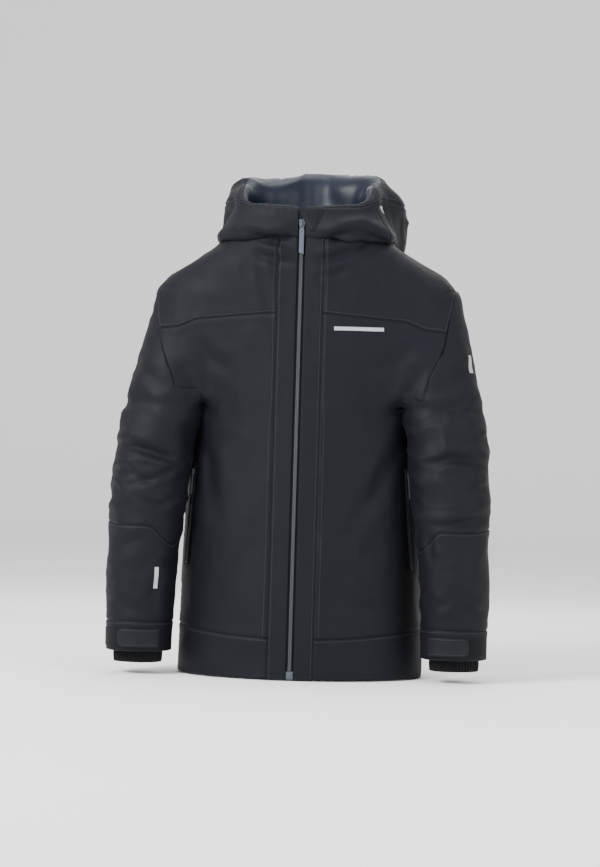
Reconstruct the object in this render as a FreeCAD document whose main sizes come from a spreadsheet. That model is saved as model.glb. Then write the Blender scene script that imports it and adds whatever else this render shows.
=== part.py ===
"""Insulated ski jacket, zipped to the chin with its hood down, in the shape it keeps when worn.

Millimetres. +Z is up from the hem, -Y is the centre front and +X is the wearer's left.
The outer shell, the wadding and the lining are nested rings between lofted forms. Each panel is
the stretch of a ring inside one box, so neighbouring panels meet at flat seams.
"""
import FreeCAD, Part
import math
import os

doc = FreeCAD.newDocument("ski_jacket")
sheet = doc.addObject("Spreadsheet::Sheet", "Sizes")

SIZES = {
    # overall form
    "body_length": 722, "body_half_width": 204, "body_half_depth": 140,
    "front_reach": 163, "zip_slope": 0.062,
    "neck_half_width": 136, "neck_half_depth": 91,
    "sleeve_radius": 66, "sleeve_bottom": 37,
    # cloth layers, from the outside in
    "shell_thickness": 1.6, "bag_thickness": 1.6, "wadding_thickness": 6.0, "lining_thickness": 0.8,
    "layer_gap": 0.4, "seam_gap": 0.3,
    # seams
    "hem_height": 75, "yoke_height": 592, "placket_edge": 38, "side_seam": 164,
    "forearm_top": 250, "cuff_top": 86, "lining_bottom": 24,
    # collar and hood
    "collar_front": 50, "rim_tilt": 18.5, "rim_width": 10, "collar_split": 118, "hood_seam": 60,
    "hood_half_width": 142, "hood_half_depth": 80, "hood_half_height": 100,
    "hood_centre_back": 246, "hood_centre_rise": 24,
    # main zip
    "slot_half": 6, "coil_inner": 0.9, "coil_outer": 3.4, "coil_thickness": 2.2,
    "tape_half": 15, "tape_thickness": 0.8, "tape_sink": 2.4,
    "zip_bottom": 14, "zip_top": 754, "box_bottom": 2, "box_back": 1, "zip_end_gap": 0.3,
    "slider_half": 5.5, "slider_length": 17, "slider_place": 744, "plate_thickness": 1.1,
    "slide_gap": 0.3, "slider_post": 1.0, "flange_inner": 4.0,
    "crown_width": 3.0, "crown_length": 8.0, "crown_rise": 3.4, "pin_radius": 0.8, "pin_gap": 0.1,
    "pull_width": 8.0, "pull_length": 50, "pull_thickness": 1.4, "bail_arm": 1.3, "bail_gap": 0.3,
    "pull_joint": 2, "flap_half": 19, "flap_thickness": 1.4, "flap_sink": 5.6, "flap_short": 6,
    "facing_half": 22.5,
    # chin flap over the top of the zip
    "chin_free": 8, "chin_step": 18, "chin_sewn": 36, "chin_bottom": 732, "chin_top": 770,
    "chin_thickness": 1.4, "chin_stand": 5.4, "chin_rest": 0.5, "chin_slant": 2,
    # hand pockets
    "pocket_top_x": 176, "pocket_low_x": 188, "pocket_zip_half": 6, "pocket_slot_gap": 0.4,
    "pocket_coil_inner": 0.7, "pocket_coil_outer": 2.2, "pocket_coil_thickness": 1.4,
    "pocket_tape_thickness": 0.8, "pocket_stop": 4, "pocket_slider_half": 3.6,
    "pocket_slider_length": 11, "pocket_plate": 0.8, "pocket_post": 0.8,
    "pocket_crown": 2.2, "pocket_crown_length": 5, "pocket_crown_rise": 2.4, "pocket_pin": 0.6,
    "pocket_pull_width": 3.4, "pocket_pull_length": 40, "pocket_pull_thickness": 1.2,
    "pocket_bridge": 2, "pocket_bridge_gap": 1, "pocket_bag_inner_x": 84,
    "pocket_bag_bottom": 120, "pocket_bag_above": 12, "pocket_slot_out": 10,
    "pocket_slot_in": 1.5,
    # cuffs
    "tab_bottom": 44, "tab_height": 30, "tab_thickness": 2.0, "tab_stand": 1.5,
    "tab_base": 222, "tab_tip": 288, "patch_thickness": 0.8, "patch_inner": 268, "patch_outer": 318,
    "gaiter_bottom": 18, "gaiter_top": 78, "gaiter_low_radius": 39, "gaiter_high_radius": 41.5,
    "gaiter_thickness": 1.5,
    # snow skirt, label, loop and marks
    "skirt_bottom": 160, "skirt_top": 290, "skirt_thickness": 1.0,
    "stud_radius": 6, "stud_thickness": 2.5, "stud_pitch": 45, "stud_low": 185,
    "label_half_width": 22, "label_bottom": 640, "label_top": 668, "label_thickness": 0.6,
    "loop_radius": 24, "loop_cord": 2.0, "loop_stand": 8,
    "mark_stand": 0.4, "mark_thickness": 0.6,
    "chest_mark_inner": 50, "chest_mark_outer": 133, "chest_mark_bottom": 564,
    "chest_mark_top": 581, "sleeve_mark_bottom": 503, "sleeve_mark_top": 537,
    "sleeve_mark_inner": 224.4, "sleeve_mark_front": 114, "sleeve_mark_back": 134,
    "forearm_mark_inner": 223, "forearm_mark_outer": 231, "forearm_mark_bottom": 140,
    "forearm_mark_top": 177,
}
for row, (alias, number) in enumerate(SIZES.items(), start=1):
    sheet.set(f"A{row}", alias)
    sheet.set(f"B{row}", str(number))
    sheet.setAlias(f"B{row}", alias)
doc.recompute()

REACH = 900                     # longer than any side of the jacket, for boxes that cut through
PAST_END = 1                    # how far such a box runs past the end of the body

# Rings of the body: height as a share of the body length, width and depth as shares of the
# half sizes at the hem.
BODY_RINGS = {
    "hem": (0.0, 1.0, 1.0), "hip": (0.125, 0.995, 1.0), "pocket_low": (0.249, 0.985, 1.0),
    "pocket_top": (0.478, 0.95, 0.985), "elbow": (0.536, 0.915, 0.98),
    "underarm": (0.623, 0.93, 0.97), "chest": (0.72, 1.015, 0.96), "blade": (0.803, 1.1, 0.93),
    "shoulder": (0.873, 1.145, 0.85), "shoulder_top": (0.921, 1.08, 0.785),
    "slope": (0.956, 0.9, 0.725), "neck_side": (0.98, 0.75, 0.685),
}
# Rings of the collar and hood: height above the neck seam, then shares of the neck's half sizes.
HOOD_RINGS = {"seam": (0, 1.0, 1.0), "collar": (40, 0.965, 1.05),
              "fold": (80, 0.93, 1.15), "rim": (150, 0.88, 1.22)}
# Rings of a sleeve: height as a share of the body length, centre as a share of the body's half
# width, distance behind the foot of the zip, and radius as a share of the sleeve radius.
SLEEVE_RINGS = {
    "wrist": (0.152, 1.275, 76, 0.84), "forearm": (0.259, 1.265, 78, 0.88),
    "elbow": (0.416, 1.225, 85, 0.955), "bicep": (0.536, 1.19, 101, 1.0),
    "underarm": (0.609, 1.132, 116, 1.045), "armpit": (0.675, 1.07, 129, 1.09),
    "armhole": (0.803, 0.925, 151, 1.195), "cap": (0.886, 0.877, 159, 1.09),
    "top": (0.931, 0.824, 162, 0.57),
}
CUFF_RING = (1.28, 76, 0.82)
SIDES = {"left": 1, "right": -1}


def size(alias):
    """Give a cell's number."""
    return float(sheet.get(alias))


def bind(item, **expressions):
    """Tie properties of an object to the sheet. An underscore pair in a name stands for a dot."""
    for name, expression in expressions.items():
        item.setExpression(name.replace("__", "."), re_word(expression))
    return item


def re_word(expression):
    """Put the sheet's name before every alias in an expression."""
    words, word = [], ""
    for letter in str(expression) + " ":
        if letter.isalnum() or letter == "_":
            word += letter
            continue
        words.append("Sizes." + word if word in SIZES else word)
        words.append(letter)
        word = ""
    return "".join(words).strip()


def add(kind, name, **expressions):
    """Make a document object with its sizes tied to the sheet."""
    return bind(doc.addObject(kind, name), **expressions)


def box(name, low, high):
    """A block between two corners, each given as three expressions."""
    spans = [f"({top}) - ({bottom})" for bottom, top in zip(low, high)]
    return add("Part::Box", name, Length=spans[0], Width=spans[1], Height=spans[2],
               Placement__Base__x=low[0], Placement__Base__y=low[1], Placement__Base__z=low[2])


def cut(name, base, *tools):
    """Take each tool away from the base in turn."""
    for count, tool in enumerate(tools):
        step = doc.addObject("Part::Cut", name if count == len(tools) - 1 else f"{name}_less")
        step.Base, step.Tool = base, tool
        base = step
    return base


def common(name, base, tool):
    """Keep what two objects share."""
    shared = doc.addObject("Part::Common", name)
    shared.Base, shared.Tool = base, tool
    return shared


def fuse(name, shapes):
    """Join solids into one."""
    joined = doc.addObject("Part::MultiFuse", name)
    joined.Shapes = shapes
    return joined


def loft(name, rings):
    """A closed form through flat rings."""
    form = doc.addObject("Part::Loft", name)
    form.Sections, form.Solid, form.Ruled = rings, True, True
    return form


forms = {}
ZIP_Y = "-front_reach + zip_slope * ({height})"


def oval(name, height, half_width, half_depth, inset):
    """A level oval whose front lies on the line of the main zip, moved in by the inset."""
    return add("Part::Ellipse", name, MajorRadius=f"{half_width} - ({inset})",
               MinorRadius=f"{half_depth} - ({inset})",
               Placement__Base__y=f"{ZIP_Y.format(height=height)} + {half_depth}",
               Placement__Base__z=height)


def body_form(inset):
    """The body's form, moved in by the inset, which is an expression."""
    key = ("body", inset)
    if key not in forms:
        rings = [oval(f"body_{ring}_oval", f"body_length * {level}", f"body_half_width * {wide}",
                      f"body_half_depth * {deep}", inset)
                 for ring, (level, wide, deep) in BODY_RINGS.items()]
        rings.append(oval("body_neck_oval", "body_length", "neck_half_width", "neck_half_depth", inset))
        forms[key] = loft("body_form", rings)
    return forms[key]


def hood_form(inset):
    """The form of the collar and the hood's rim, moved in by the inset."""
    key = ("hood", inset)
    if key not in forms:
        rings = [oval(f"hood_{ring}_oval", f"body_length + seam_gap + {rise}",
                      f"neck_half_width * {wide}", f"neck_half_depth * {deep}", inset)
                 for ring, (rise, wide, deep) in HOOD_RINGS.items()]
        forms[key] = loft("hood_form", rings)
    return forms[key]


def sleeve_form(side, inset):
    """One sleeve's form, moved in by the inset."""
    key = (side, inset)
    if key not in forms:
        places = [("sleeve_bottom", *CUFF_RING)]
        places += [(f"body_length * {level}", across, behind, radius)
                   for level, across, behind, radius in SLEEVE_RINGS.values()]
        rings = [add("Part::Circle", f"sleeve_{side}_ring",
                     Radius=f"sleeve_radius * {radius} - ({inset})",
                     Placement__Base__x=f"{SIDES[side]} * body_half_width * {across}",
                     Placement__Base__y=f"{behind} - front_reach", Placement__Base__z=height)
                 for height, across, behind, radius in places]
        forms[key] = loft(f"sleeve_{side}_form", rings)
    return forms[key]


def ring_between(form, name, outer, inner):
    """A layer of cloth: one form less the smaller form inside it."""
    return cut(name, form(outer), form(inner))


parts = []


def keep(item, label):
    """Name an object as a finished sub-part."""
    item.Label = label
    parts.append(item)
    return item


# ---------------------------------------------------------------- insets of the layers
SHELL_IN = "shell_thickness"
BAG_OUT = "shell_thickness + layer_gap"
BAG_IN = "shell_thickness + layer_gap + bag_thickness"
WADDING_OUT = "shell_thickness + 2 * layer_gap + bag_thickness"
WADDING_IN = WADDING_OUT + " + wadding_thickness"
LINING_OUT = WADDING_IN + " + layer_gap"
LINING_IN = LINING_OUT + " + lining_thickness"
SKIRT_OUT = LINING_IN + " + layer_gap"
SKIRT_IN = SKIRT_OUT + " + skirt_thickness"
SLEEVE_WADDING_OUT = "shell_thickness + layer_gap"
SLEEVE_WADDING_IN = SLEEVE_WADDING_OUT + " + wadding_thickness"
SLEEVE_LINING_OUT = SLEEVE_WADDING_IN + " + layer_gap"
SLEEVE_LINING_IN = SLEEVE_LINING_OUT + " + lining_thickness"
RIM_HEIGHT = "body_length + collar_front"

arm_holes = [sleeve_form(side, SLEEVE_LINING_IN) for side in SIDES]


# ---------------------------------------------------------------- frames for the zips
def main_zip_frame(along, forward):
    """Where a point of the main zip lies: along it from the hem, and forward of the cloth."""
    lean = math.atan(size("zip_slope"))
    y = -size("front_reach") + along * math.sin(lean) - forward * math.cos(lean)
    z = along * math.cos(lean) + forward * math.sin(lean)
    return FreeCAD.Placement(FreeCAD.Vector(0, y, z),
                             FreeCAD.Rotation(FreeCAD.Vector(1, 0, 0), -math.degrees(lean)))


def body_surface(ring, x):
    """The point of a body ring at a given X on the front, and the way the cloth faces there."""
    level, wide, deep = BODY_RINGS[ring]
    half_width, half_depth = size("body_half_width") * wide, size("body_half_depth") * deep
    height = size("body_length") * level
    centre = -size("front_reach") + size("zip_slope") * height + half_depth
    drop = half_depth * math.sqrt(1 - (x / half_width) ** 2)
    facing = FreeCAD.Vector(x / half_width ** 2, -drop / half_depth ** 2, 0)
    return FreeCAD.Vector(x, centre - drop, height), facing.normalize()


def pocket_frame(side):
    """The pocket zip's frame: origin at its low end, Z along it, Y into the jacket."""
    sign = SIDES[side]
    top, facing = body_surface("pocket_top", sign * size("pocket_top_x"))
    low, facing_low = body_surface("pocket_low", sign * size("pocket_low_x"))
    up = (top - low).normalize()
    inward = -(facing + facing_low)
    across = inward.cross(up).normalize()
    inward = up.cross(across)
    turn = FreeCAD.Rotation(across, inward, up, "ZXY")
    return FreeCAD.Placement(low, turn), (top - low).Length


def block(name, low, high, frame):
    """A block between two corners in a zip's frame, where Y runs into the jacket."""
    spans = [f"({top}) - ({bottom})" for bottom, top in zip(low, high)]
    solid = add("Part::Box", name, Length=spans[0], Width=spans[1], Height=spans[2])
    corner = FreeCAD.Vector(*(value(expression) for expression in low))
    solid.Placement = frame.multiply(FreeCAD.Placement(corner, FreeCAD.Rotation()))
    return solid


probe = doc.addObject("Part::Vertex", "probe")


def value(expression):
    """Work out an expression of the sheet's sizes."""
    probe.setExpression("X", re_word(expression))
    probe.recompute()
    return float(probe.X)


def pin(name, radius, reach, forward, along, frame):
    """A round bar across a zip, from -reach to +reach."""
    bar = add("Part::Cylinder", name, Radius=radius, Height=f"2 * ({reach})")
    start = FreeCAD.Vector(-value(reach), -value(forward), value(along))
    bar.Placement = frame.multiply(
        FreeCAD.Placement(start, FreeCAD.Rotation(FreeCAD.Vector(0, 1, 0), 90)))
    return bar


pocket_frames = {side: pocket_frame(side) for side in SIDES}
zip_frame = main_zip_frame(0, 0)


# ---------------------------------------------------------------- shell of the body
shell = cut("body_shell", ring_between(body_form, "body_ring", "0", SHELL_IN), *arm_holes)
BODY_ENDS = (str(-PAST_END), f"body_length + {PAST_END}")
BANDS = {"hem": (BODY_ENDS[0], "hem_height"), "panel": ("hem_height", "yoke_height"),
         "yoke": ("yoke_height", BODY_ENDS[1])}
SIDE_SEAM = "side_seam - front_reach"
pocket_slots = {}
for side, (frame, length) in pocket_frames.items():
    half = "(pocket_zip_half + pocket_slot_gap)"
    slot_low = (f"-{half}", "-pocket_slot_out", "-pocket_slot_gap")
    slot_high = (half, WADDING_OUT + " + pocket_slot_in", f"{length} + pocket_slot_gap")
    pocket_slots[side] = block(f"pocket_slot_{side}", slot_low, slot_high, frame)

for band, (low, high) in BANDS.items():
    back = box(f"back_{band}_box", (-REACH, SIDE_SEAM, low), (REACH, REACH, high))
    keep(common(f"back_{band}", shell, back), "back_panel" if band == "panel" else f"back_{band}")
    for side, sign in SIDES.items():
        ends = ["placket_edge", str(REACH)] if sign > 0 else [str(-REACH), "-placket_edge"]
        front = box(f"front_{band}_{side}_box", (ends[0], -REACH, low), (ends[1], SIDE_SEAM, high))
        piece = common(f"whole_{band}_{side}", shell, front)
        if band == "panel":
            piece = cut(f"slotted_{band}_{side}", piece, pocket_slots[side])
        keep(piece, f"front_{band}_{side}")
for side, sign in SIDES.items():
    ends = ["slot_half", "placket_edge"] if sign > 0 else ["-placket_edge", "-slot_half"]
    strip = box(f"placket_{side}_box", (ends[0], -REACH, BODY_ENDS[0]),
                (ends[1], 0, BODY_ENDS[1]))
    keep(common(f"placket_{side}", shell, strip), f"placket_{side}")

# ---------------------------------------------------------------- wadding and lining of the body
facing = box("facing_gap", ("-facing_half", -REACH, -REACH), ("facing_half", 0, REACH))
below_wadding = box("below_wadding", (-REACH, -REACH, -REACH), (REACH, REACH, "shell_thickness"))
below_lining = box("below_lining", (-REACH, -REACH, -REACH), (REACH, REACH, "lining_bottom"))
wadding = ring_between(body_form, "body_wadding_ring", WADDING_OUT, WADDING_IN)
keep(cut("body_wadding", wadding, *arm_holes, below_wadding, facing, *pocket_slots.values()),
     "body_wadding")
lining = ring_between(body_form, "body_lining_ring", LINING_OUT, LINING_IN)
keep(cut("body_lining", lining, *arm_holes, below_lining, facing), "body_lining")
skirt = ring_between(body_form, "skirt_ring", SKIRT_OUT, SKIRT_IN)
skirt_box = box("skirt_box", (-REACH, -REACH, "skirt_bottom"), (REACH, REACH, "skirt_top"))
keep(common("skirt_band", skirt, skirt_box), "snow_skirt")

bag_ring = ring_between(body_form, "bag_ring", BAG_OUT, BAG_IN)
for side, sign in SIDES.items():
    ends = ["pocket_bag_inner_x", REACH] if sign > 0 else [-REACH, "-pocket_bag_inner_x"]
    bag_box = box(f"bag_box_{side}", (ends[0], -REACH, "pocket_bag_bottom"),
                  (ends[1], SIDE_SEAM,
                   f"body_length * {BODY_RINGS['pocket_top'][0]} + pocket_bag_above"))
    keep(cut(f"pocket_bag_{side}", common(f"bag_{side}", bag_ring, bag_box), pocket_slots[side]),
         f"pocket_bag_{side}")

label_box = box("label_box", ("-label_half_width", 0, "label_bottom"),
                ("label_half_width", REACH, "label_top"))
label_ring = ring_between(body_form, "label_ring", SKIRT_OUT, SKIRT_OUT + " + label_thickness")
keep(common("neck_label", label_ring, label_box), "neck_label")

# ---------------------------------------------------------------- collar and hood
rim_frames = []
for name, drop in (("rim_top", "0"), ("rim_low", "rim_width")):
    above = add("Part::Box", name, Length=2 * REACH, Width=2 * REACH, Height=REACH,
                Placement__Base__x=-REACH, Placement__Base__y="-front_reach",
                Placement__Base__z=f"{RIM_HEIGHT} - {drop}")
    above.Placement.Rotation.Axis = FreeCAD.Vector(1, 0, 0)
    bind(above, Placement__Rotation__Angle="rim_tilt")
    rim_frames.append(above)
above_rim, above_band = rim_frames
hood_ring = ring_between(hood_form, "hood_ring", "0", SHELL_IN)
SPLIT = "-front_reach + collar_split"
collar_spans = {"hood_neck": ((-REACH, SPLIT, 0), (REACH, REACH, 2 * REACH)),
                "collar_left": (("slot_half", -REACH, 0), (REACH, SPLIT, 2 * REACH)),
                "collar_right": ((-REACH, -REACH, 0), ("-slot_half", SPLIT, 2 * REACH))}
for label, (low, high) in collar_spans.items():
    piece = common(f"{label}_tall", hood_ring, box(f"{label}_box", low, high))
    keep(cut(f"{label}_trimmed", piece, above_band), label)
hood_facing = box("hood_facing", ("-facing_half", -REACH, 0), ("facing_half", 0, 2 * REACH))
hood_wadding = ring_between(hood_form, "hood_wadding_ring", WADDING_OUT, WADDING_IN)
keep(cut("hood_wadding", hood_wadding, above_band, hood_facing), "hood_wadding")
hood_lining = ring_between(hood_form, "hood_lining_ring", LINING_OUT, LINING_IN)
keep(cut("hood_lining", hood_lining, above_band, hood_facing), "hood_lining")
rim = common("rim_band", ring_between(hood_form, "rim_ring", "0", LINING_IN), above_band)
keep(cut("hood_rim", rim, above_rim, hood_facing), "hood_rim")

hood_bulk = add("Part::Ellipsoid", "hood_bulk", Radius1="hood_half_height",
                Radius2="hood_half_width", Radius3="hood_half_depth",
                Placement__Base__y="hood_centre_back - front_reach",
                Placement__Base__z="body_length + hood_centre_rise")
neck_core = loft("neck_core", [oval(f"neck_core_{end}", f"body_length {end_gap} seam_gap",
                                    "neck_half_width", "neck_half_depth", "-seam_gap")
                               for end, end_gap in (("low", "-"), ("high", "+ 2 *"))])
hood_bulk = cut("hood_fallen", hood_bulk, body_form("-seam_gap"), hood_form("-seam_gap"),
                neck_core)
HOOD_SPANS = {"hood_side_left": ("hood_seam", REACH), "hood_side_right": (-REACH, "-hood_seam"),
              "hood_centre": ("-hood_seam", "hood_seam")}
below_neck = box("behind_neck", (-REACH, 0, 0), (REACH, REACH, 2 * REACH))
hood_bulk = common("hood_behind", hood_bulk, below_neck)
for label, (low, high) in HOOD_SPANS.items():
    span = box(f"{label}_box", (low, -REACH, 0), (high, REACH, 2 * REACH))
    keep(common(label, hood_bulk, span), label)

# ---------------------------------------------------------------- sleeves
for side, sign in SIDES.items():
    outside = body_form("-seam_gap")
    levels = {"cuff_band": ("0", "cuff_top"), "forearm": ("cuff_top", "forearm_top"),
              "upper_sleeve": ("forearm_top", str(REACH))}
    wall = cut(f"sleeve_wall_{side}", sleeve_form(side, "0"), sleeve_form(side, SHELL_IN), outside)
    for level, (low, high) in levels.items():
        span = box(f"{level}_{side}_box", (-REACH, -REACH, low), (REACH, REACH, high))
        keep(common(f"{level}_{side}", wall, span), f"{level}_{side}")
    short = box(f"sleeve_short_{side}", (-REACH, -REACH, 0), (REACH, REACH, "gaiter_top + seam_gap"))
    hem_turn = box(f"sleeve_turn_{side}", (-REACH, -REACH, 0),
                   (REACH, REACH, "sleeve_bottom + shell_thickness"))
    padding = cut(f"sleeve_padding_{side}", sleeve_form(side, SLEEVE_WADDING_OUT),
                  sleeve_form(side, SLEEVE_WADDING_IN), outside, hem_turn)
    keep(padding, f"sleeve_wadding_{side}")
    lined = cut(f"sleeve_lined_{side}", sleeve_form(side, SLEEVE_LINING_OUT),
                sleeve_form(side, SLEEVE_LINING_IN), outside, short)
    keep(lined, f"sleeve_lining_{side}")

    # stretch gaiter inside the cuff
    across, behind, _ = CUFF_RING
    cuff_y = f"{behind} - front_reach"
    walls = []
    for layer in ("0", "gaiter_thickness"):
        rings = [add("Part::Circle", f"gaiter_{side}_ring", Radius=f"{radius} - {layer}",
                     Placement__Base__x=f"{sign} * body_half_width * {across}",
                     Placement__Base__y=cuff_y, Placement__Base__z=height)
                 for height, radius in (("gaiter_bottom", "gaiter_low_radius"),
                                        ("gaiter_top", "gaiter_high_radius"))]
        walls.append(loft(f"gaiter_{side}_form", rings))
    keep(cut(f"gaiter_{side}", *walls), f"wrist_gaiter_{side}")

    # strap of the cuff and the looped patch that it closes on
    trims = {"cuff_tab": ("tab_stand + tab_thickness", "tab_stand", "tab_base", "tab_tip"),
             "loop_patch": ("seam_gap + patch_thickness", "seam_gap", "patch_inner", "patch_outer")}
    for trim, (outer, inner, near, far) in trims.items():
        ring = cut(f"{trim}_{side}_ring", sleeve_form(side, f"-({outer})"),
                   sleeve_form(side, f"-({inner})"))
        ends = [near, far] if sign > 0 else [f"-{far}", f"-{near}"]
        span = box(f"{trim}_{side}_box", (ends[0], -REACH, "tab_bottom"),
                   (ends[1], cuff_y, "tab_bottom + tab_height"))
        keep(common(f"{trim}_{side}", ring, span), f"{trim}_{side}")

# ---------------------------------------------------------------- plain light marks
MARK_OUT, MARK_IN = "-(mark_stand + mark_thickness)", "-mark_stand"
chest_box = box("chest_mark_box", ("chest_mark_inner", -REACH, "chest_mark_bottom"),
                ("chest_mark_outer", 0, "chest_mark_top"))
chest_ring = ring_between(body_form, "chest_mark_ring", MARK_OUT, MARK_IN)
marks = [common("chest_mark", chest_ring, chest_box)]
sleeve_mark_ring = cut("sleeve_mark_ring", sleeve_form("left", MARK_OUT),
                       sleeve_form("left", MARK_IN))
sleeve_mark_box = box("sleeve_mark_box",
                      ("sleeve_mark_inner", "sleeve_mark_front - front_reach",
                       "sleeve_mark_bottom"),
                      (REACH, "sleeve_mark_back - front_reach", "sleeve_mark_top"))
marks.append(common("sleeve_mark", sleeve_mark_ring, sleeve_mark_box))
forearm_mark_ring = cut("forearm_mark_ring", sleeve_form("right", MARK_OUT),
                        sleeve_form("right", MARK_IN))
forearm_mark_box = box("forearm_mark_box",
                       ("-forearm_mark_outer", -REACH, "forearm_mark_bottom"),
                       ("-forearm_mark_inner", cuff_y, "forearm_mark_top"))
marks.append(common("forearm_mark", forearm_mark_ring, forearm_mark_box))
mark_group = doc.addObject("Part::Compound", "mark_group")
mark_group.Links = marks
keep(mark_group, "light_marks")

# ---------------------------------------------------------------- main zip
def spread(sign, near, far):
    """Order two distances from the centre line for one side."""
    return (near, far) if sign > 0 else (f"-({far})", f"-({near})")


COIL_FRONT = "(tape_sink - coil_thickness)"
for side, sign in SIDES.items():
    near, far = spread(sign, "coil_inner", "tape_half")
    tape = block(f"zip_tape_{side}", (near, "tape_sink", "zip_bottom + zip_end_gap"),
                 (far, "tape_sink + tape_thickness", "zip_top"), zip_frame)
    keep(tape, f"zip_tape_{side}")
    near, far = spread(sign, "coil_inner", "coil_outer")
    coil = block(f"zip_coil_{side}", (near, COIL_FRONT, "zip_bottom + zip_end_gap"),
                 (far, "tape_sink", "zip_top"), zip_frame)
    keep(coil, f"zip_coil_{side}")
zip_box = block("zip_box", ("-slot_half + zip_end_gap", "-slide_gap", "box_bottom"),
                ("slot_half - zip_end_gap", "tape_sink + tape_thickness + box_back",
                 "zip_bottom"),
                zip_frame)
keep(zip_box, "zip_box")
flap = block("storm_flap", ("-flap_half", "flap_sink", "zip_bottom"),
             ("flap_half", "flap_sink + flap_thickness", "zip_top - flap_short"), zip_frame)
keep(flap, "storm_flap")

SLIDER_LOW = "slider_place - slider_length / 2"
SLIDER_HIGH = "slider_place + slider_length / 2"
TAPE_BACK = "(tape_sink + tape_thickness)"
FRONT_IN = f"({COIL_FRONT} - slide_gap)"
front_plate = block("slider_front", ("-slider_half", f"{FRONT_IN} - plate_thickness", SLIDER_LOW),
                    ("slider_half", FRONT_IN, SLIDER_HIGH), zip_frame)
back_plate = block("slider_back", ("-slider_half", f"{TAPE_BACK} + slide_gap", SLIDER_LOW),
                   ("slider_half", f"{TAPE_BACK} + slide_gap + plate_thickness", SLIDER_HIGH),
                   zip_frame)
post = block("slider_post", ("-slider_post / 2", f"{FRONT_IN} - plate_thickness", SLIDER_LOW),
             ("slider_post / 2", f"{TAPE_BACK} + slide_gap + plate_thickness", SLIDER_HIGH),
             zip_frame)
flanges = []
for low, high in (("-slider_half", "-flange_inner"), ("flange_inner", "slider_half")):
    flanges.append(block("slider_flange", (low, f"{FRONT_IN} - plate_thickness", SLIDER_LOW),
                         (high, "tape_sink - slide_gap", SLIDER_HIGH), zip_frame))
crown = block("slider_crown", ("-crown_width / 2", f"{FRONT_IN} - crown_rise - plate_thickness",
                               "slider_place - crown_length / 2"),
              ("crown_width / 2", f"{FRONT_IN} - plate_thickness / 2",
               "slider_place + crown_length / 2"), zip_frame)
PIN_FORWARD = f"plate_thickness + crown_rise / 2 - {FRONT_IN}"
pin_hole = pin("slider_pin_hole", "pin_radius + pin_gap", "crown_width", PIN_FORWARD,
               "slider_place", zip_frame)
slider = fuse("slider_body", [front_plate, back_plate, post, *flanges, crown])
keep(cut("zip_slider", slider, pin_hole), "zip_slider")

PULL_FRONT = f"-({PIN_FORWARD}) - pull_thickness / 2"
PULL_BACK = f"-({PIN_FORWARD}) + pull_thickness / 2"
ARM_IN = "crown_width / 2 + bail_gap"
pull_pin = pin("pull_pin", "pin_radius", f"{ARM_IN} + bail_arm", PIN_FORWARD, "slider_place",
               zip_frame)
arms = [block("pull_arm", (low, PULL_FRONT, "slider_place - crown_length"),
              (high, PULL_BACK, "slider_place + pin_radius"), zip_frame)
        for low, high in ((f"-({ARM_IN} + bail_arm)", f"-({ARM_IN})"),
                          (ARM_IN, f"{ARM_IN} + bail_arm"))]
tab = block("pull_tab", ("-pull_width / 2", PULL_FRONT, "slider_place - pull_length"),
            ("pull_width / 2", PULL_BACK, "slider_place - crown_length + pull_joint"), zip_frame)
keep(fuse("zip_pull", [pull_pin, *arms, tab]), "zip_pull")

# ---------------------------------------------------------------- flap over the top of the zip
outline = [("-chin_free", "chin_top"), ("chin_sewn", "chin_top"), ("chin_sewn", "chin_bottom"),
           ("chin_step - chin_slant", "chin_bottom")]
corners = [FreeCAD.Vector(value(x), 0, value(z)) for x, z in outline]
face = Part.Face(Part.makePolygon(corners + corners[:1]))
chin_outline = doc.addObject("Part::Feature", "chin_outline")
chin_outline.Shape = face.extrude(FreeCAD.Vector(0, REACH, 0))
chin_outline.Placement = zip_frame.multiply(
    FreeCAD.Placement(FreeCAD.Vector(0, -REACH / 2, 0), FreeCAD.Rotation()))
CHIN_LIMITS = ("chin_bottom", "chin_top")
chin_free = block("chin_free", ("-chin_free", "-chin_stand - chin_thickness", CHIN_LIMITS[0]),
                  ("chin_step + chin_thickness", "-chin_stand", CHIN_LIMITS[1]), zip_frame)
chin_step = block("chin_step", ("chin_step", "-chin_stand - chin_thickness", CHIN_LIMITS[0]),
                  ("chin_step + chin_thickness", "-chin_rest", CHIN_LIMITS[1]), zip_frame)
chin_sewn = block("chin_sewn", ("chin_step", "-chin_rest - chin_thickness", CHIN_LIMITS[0]),
                  ("chin_sewn", "-chin_rest", CHIN_LIMITS[1]), zip_frame)
chin = fuse("chin_strip", [chin_free, chin_step, chin_sewn])
keep(common("chin_flap", chin, chin_outline), "chin_flap")

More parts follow.
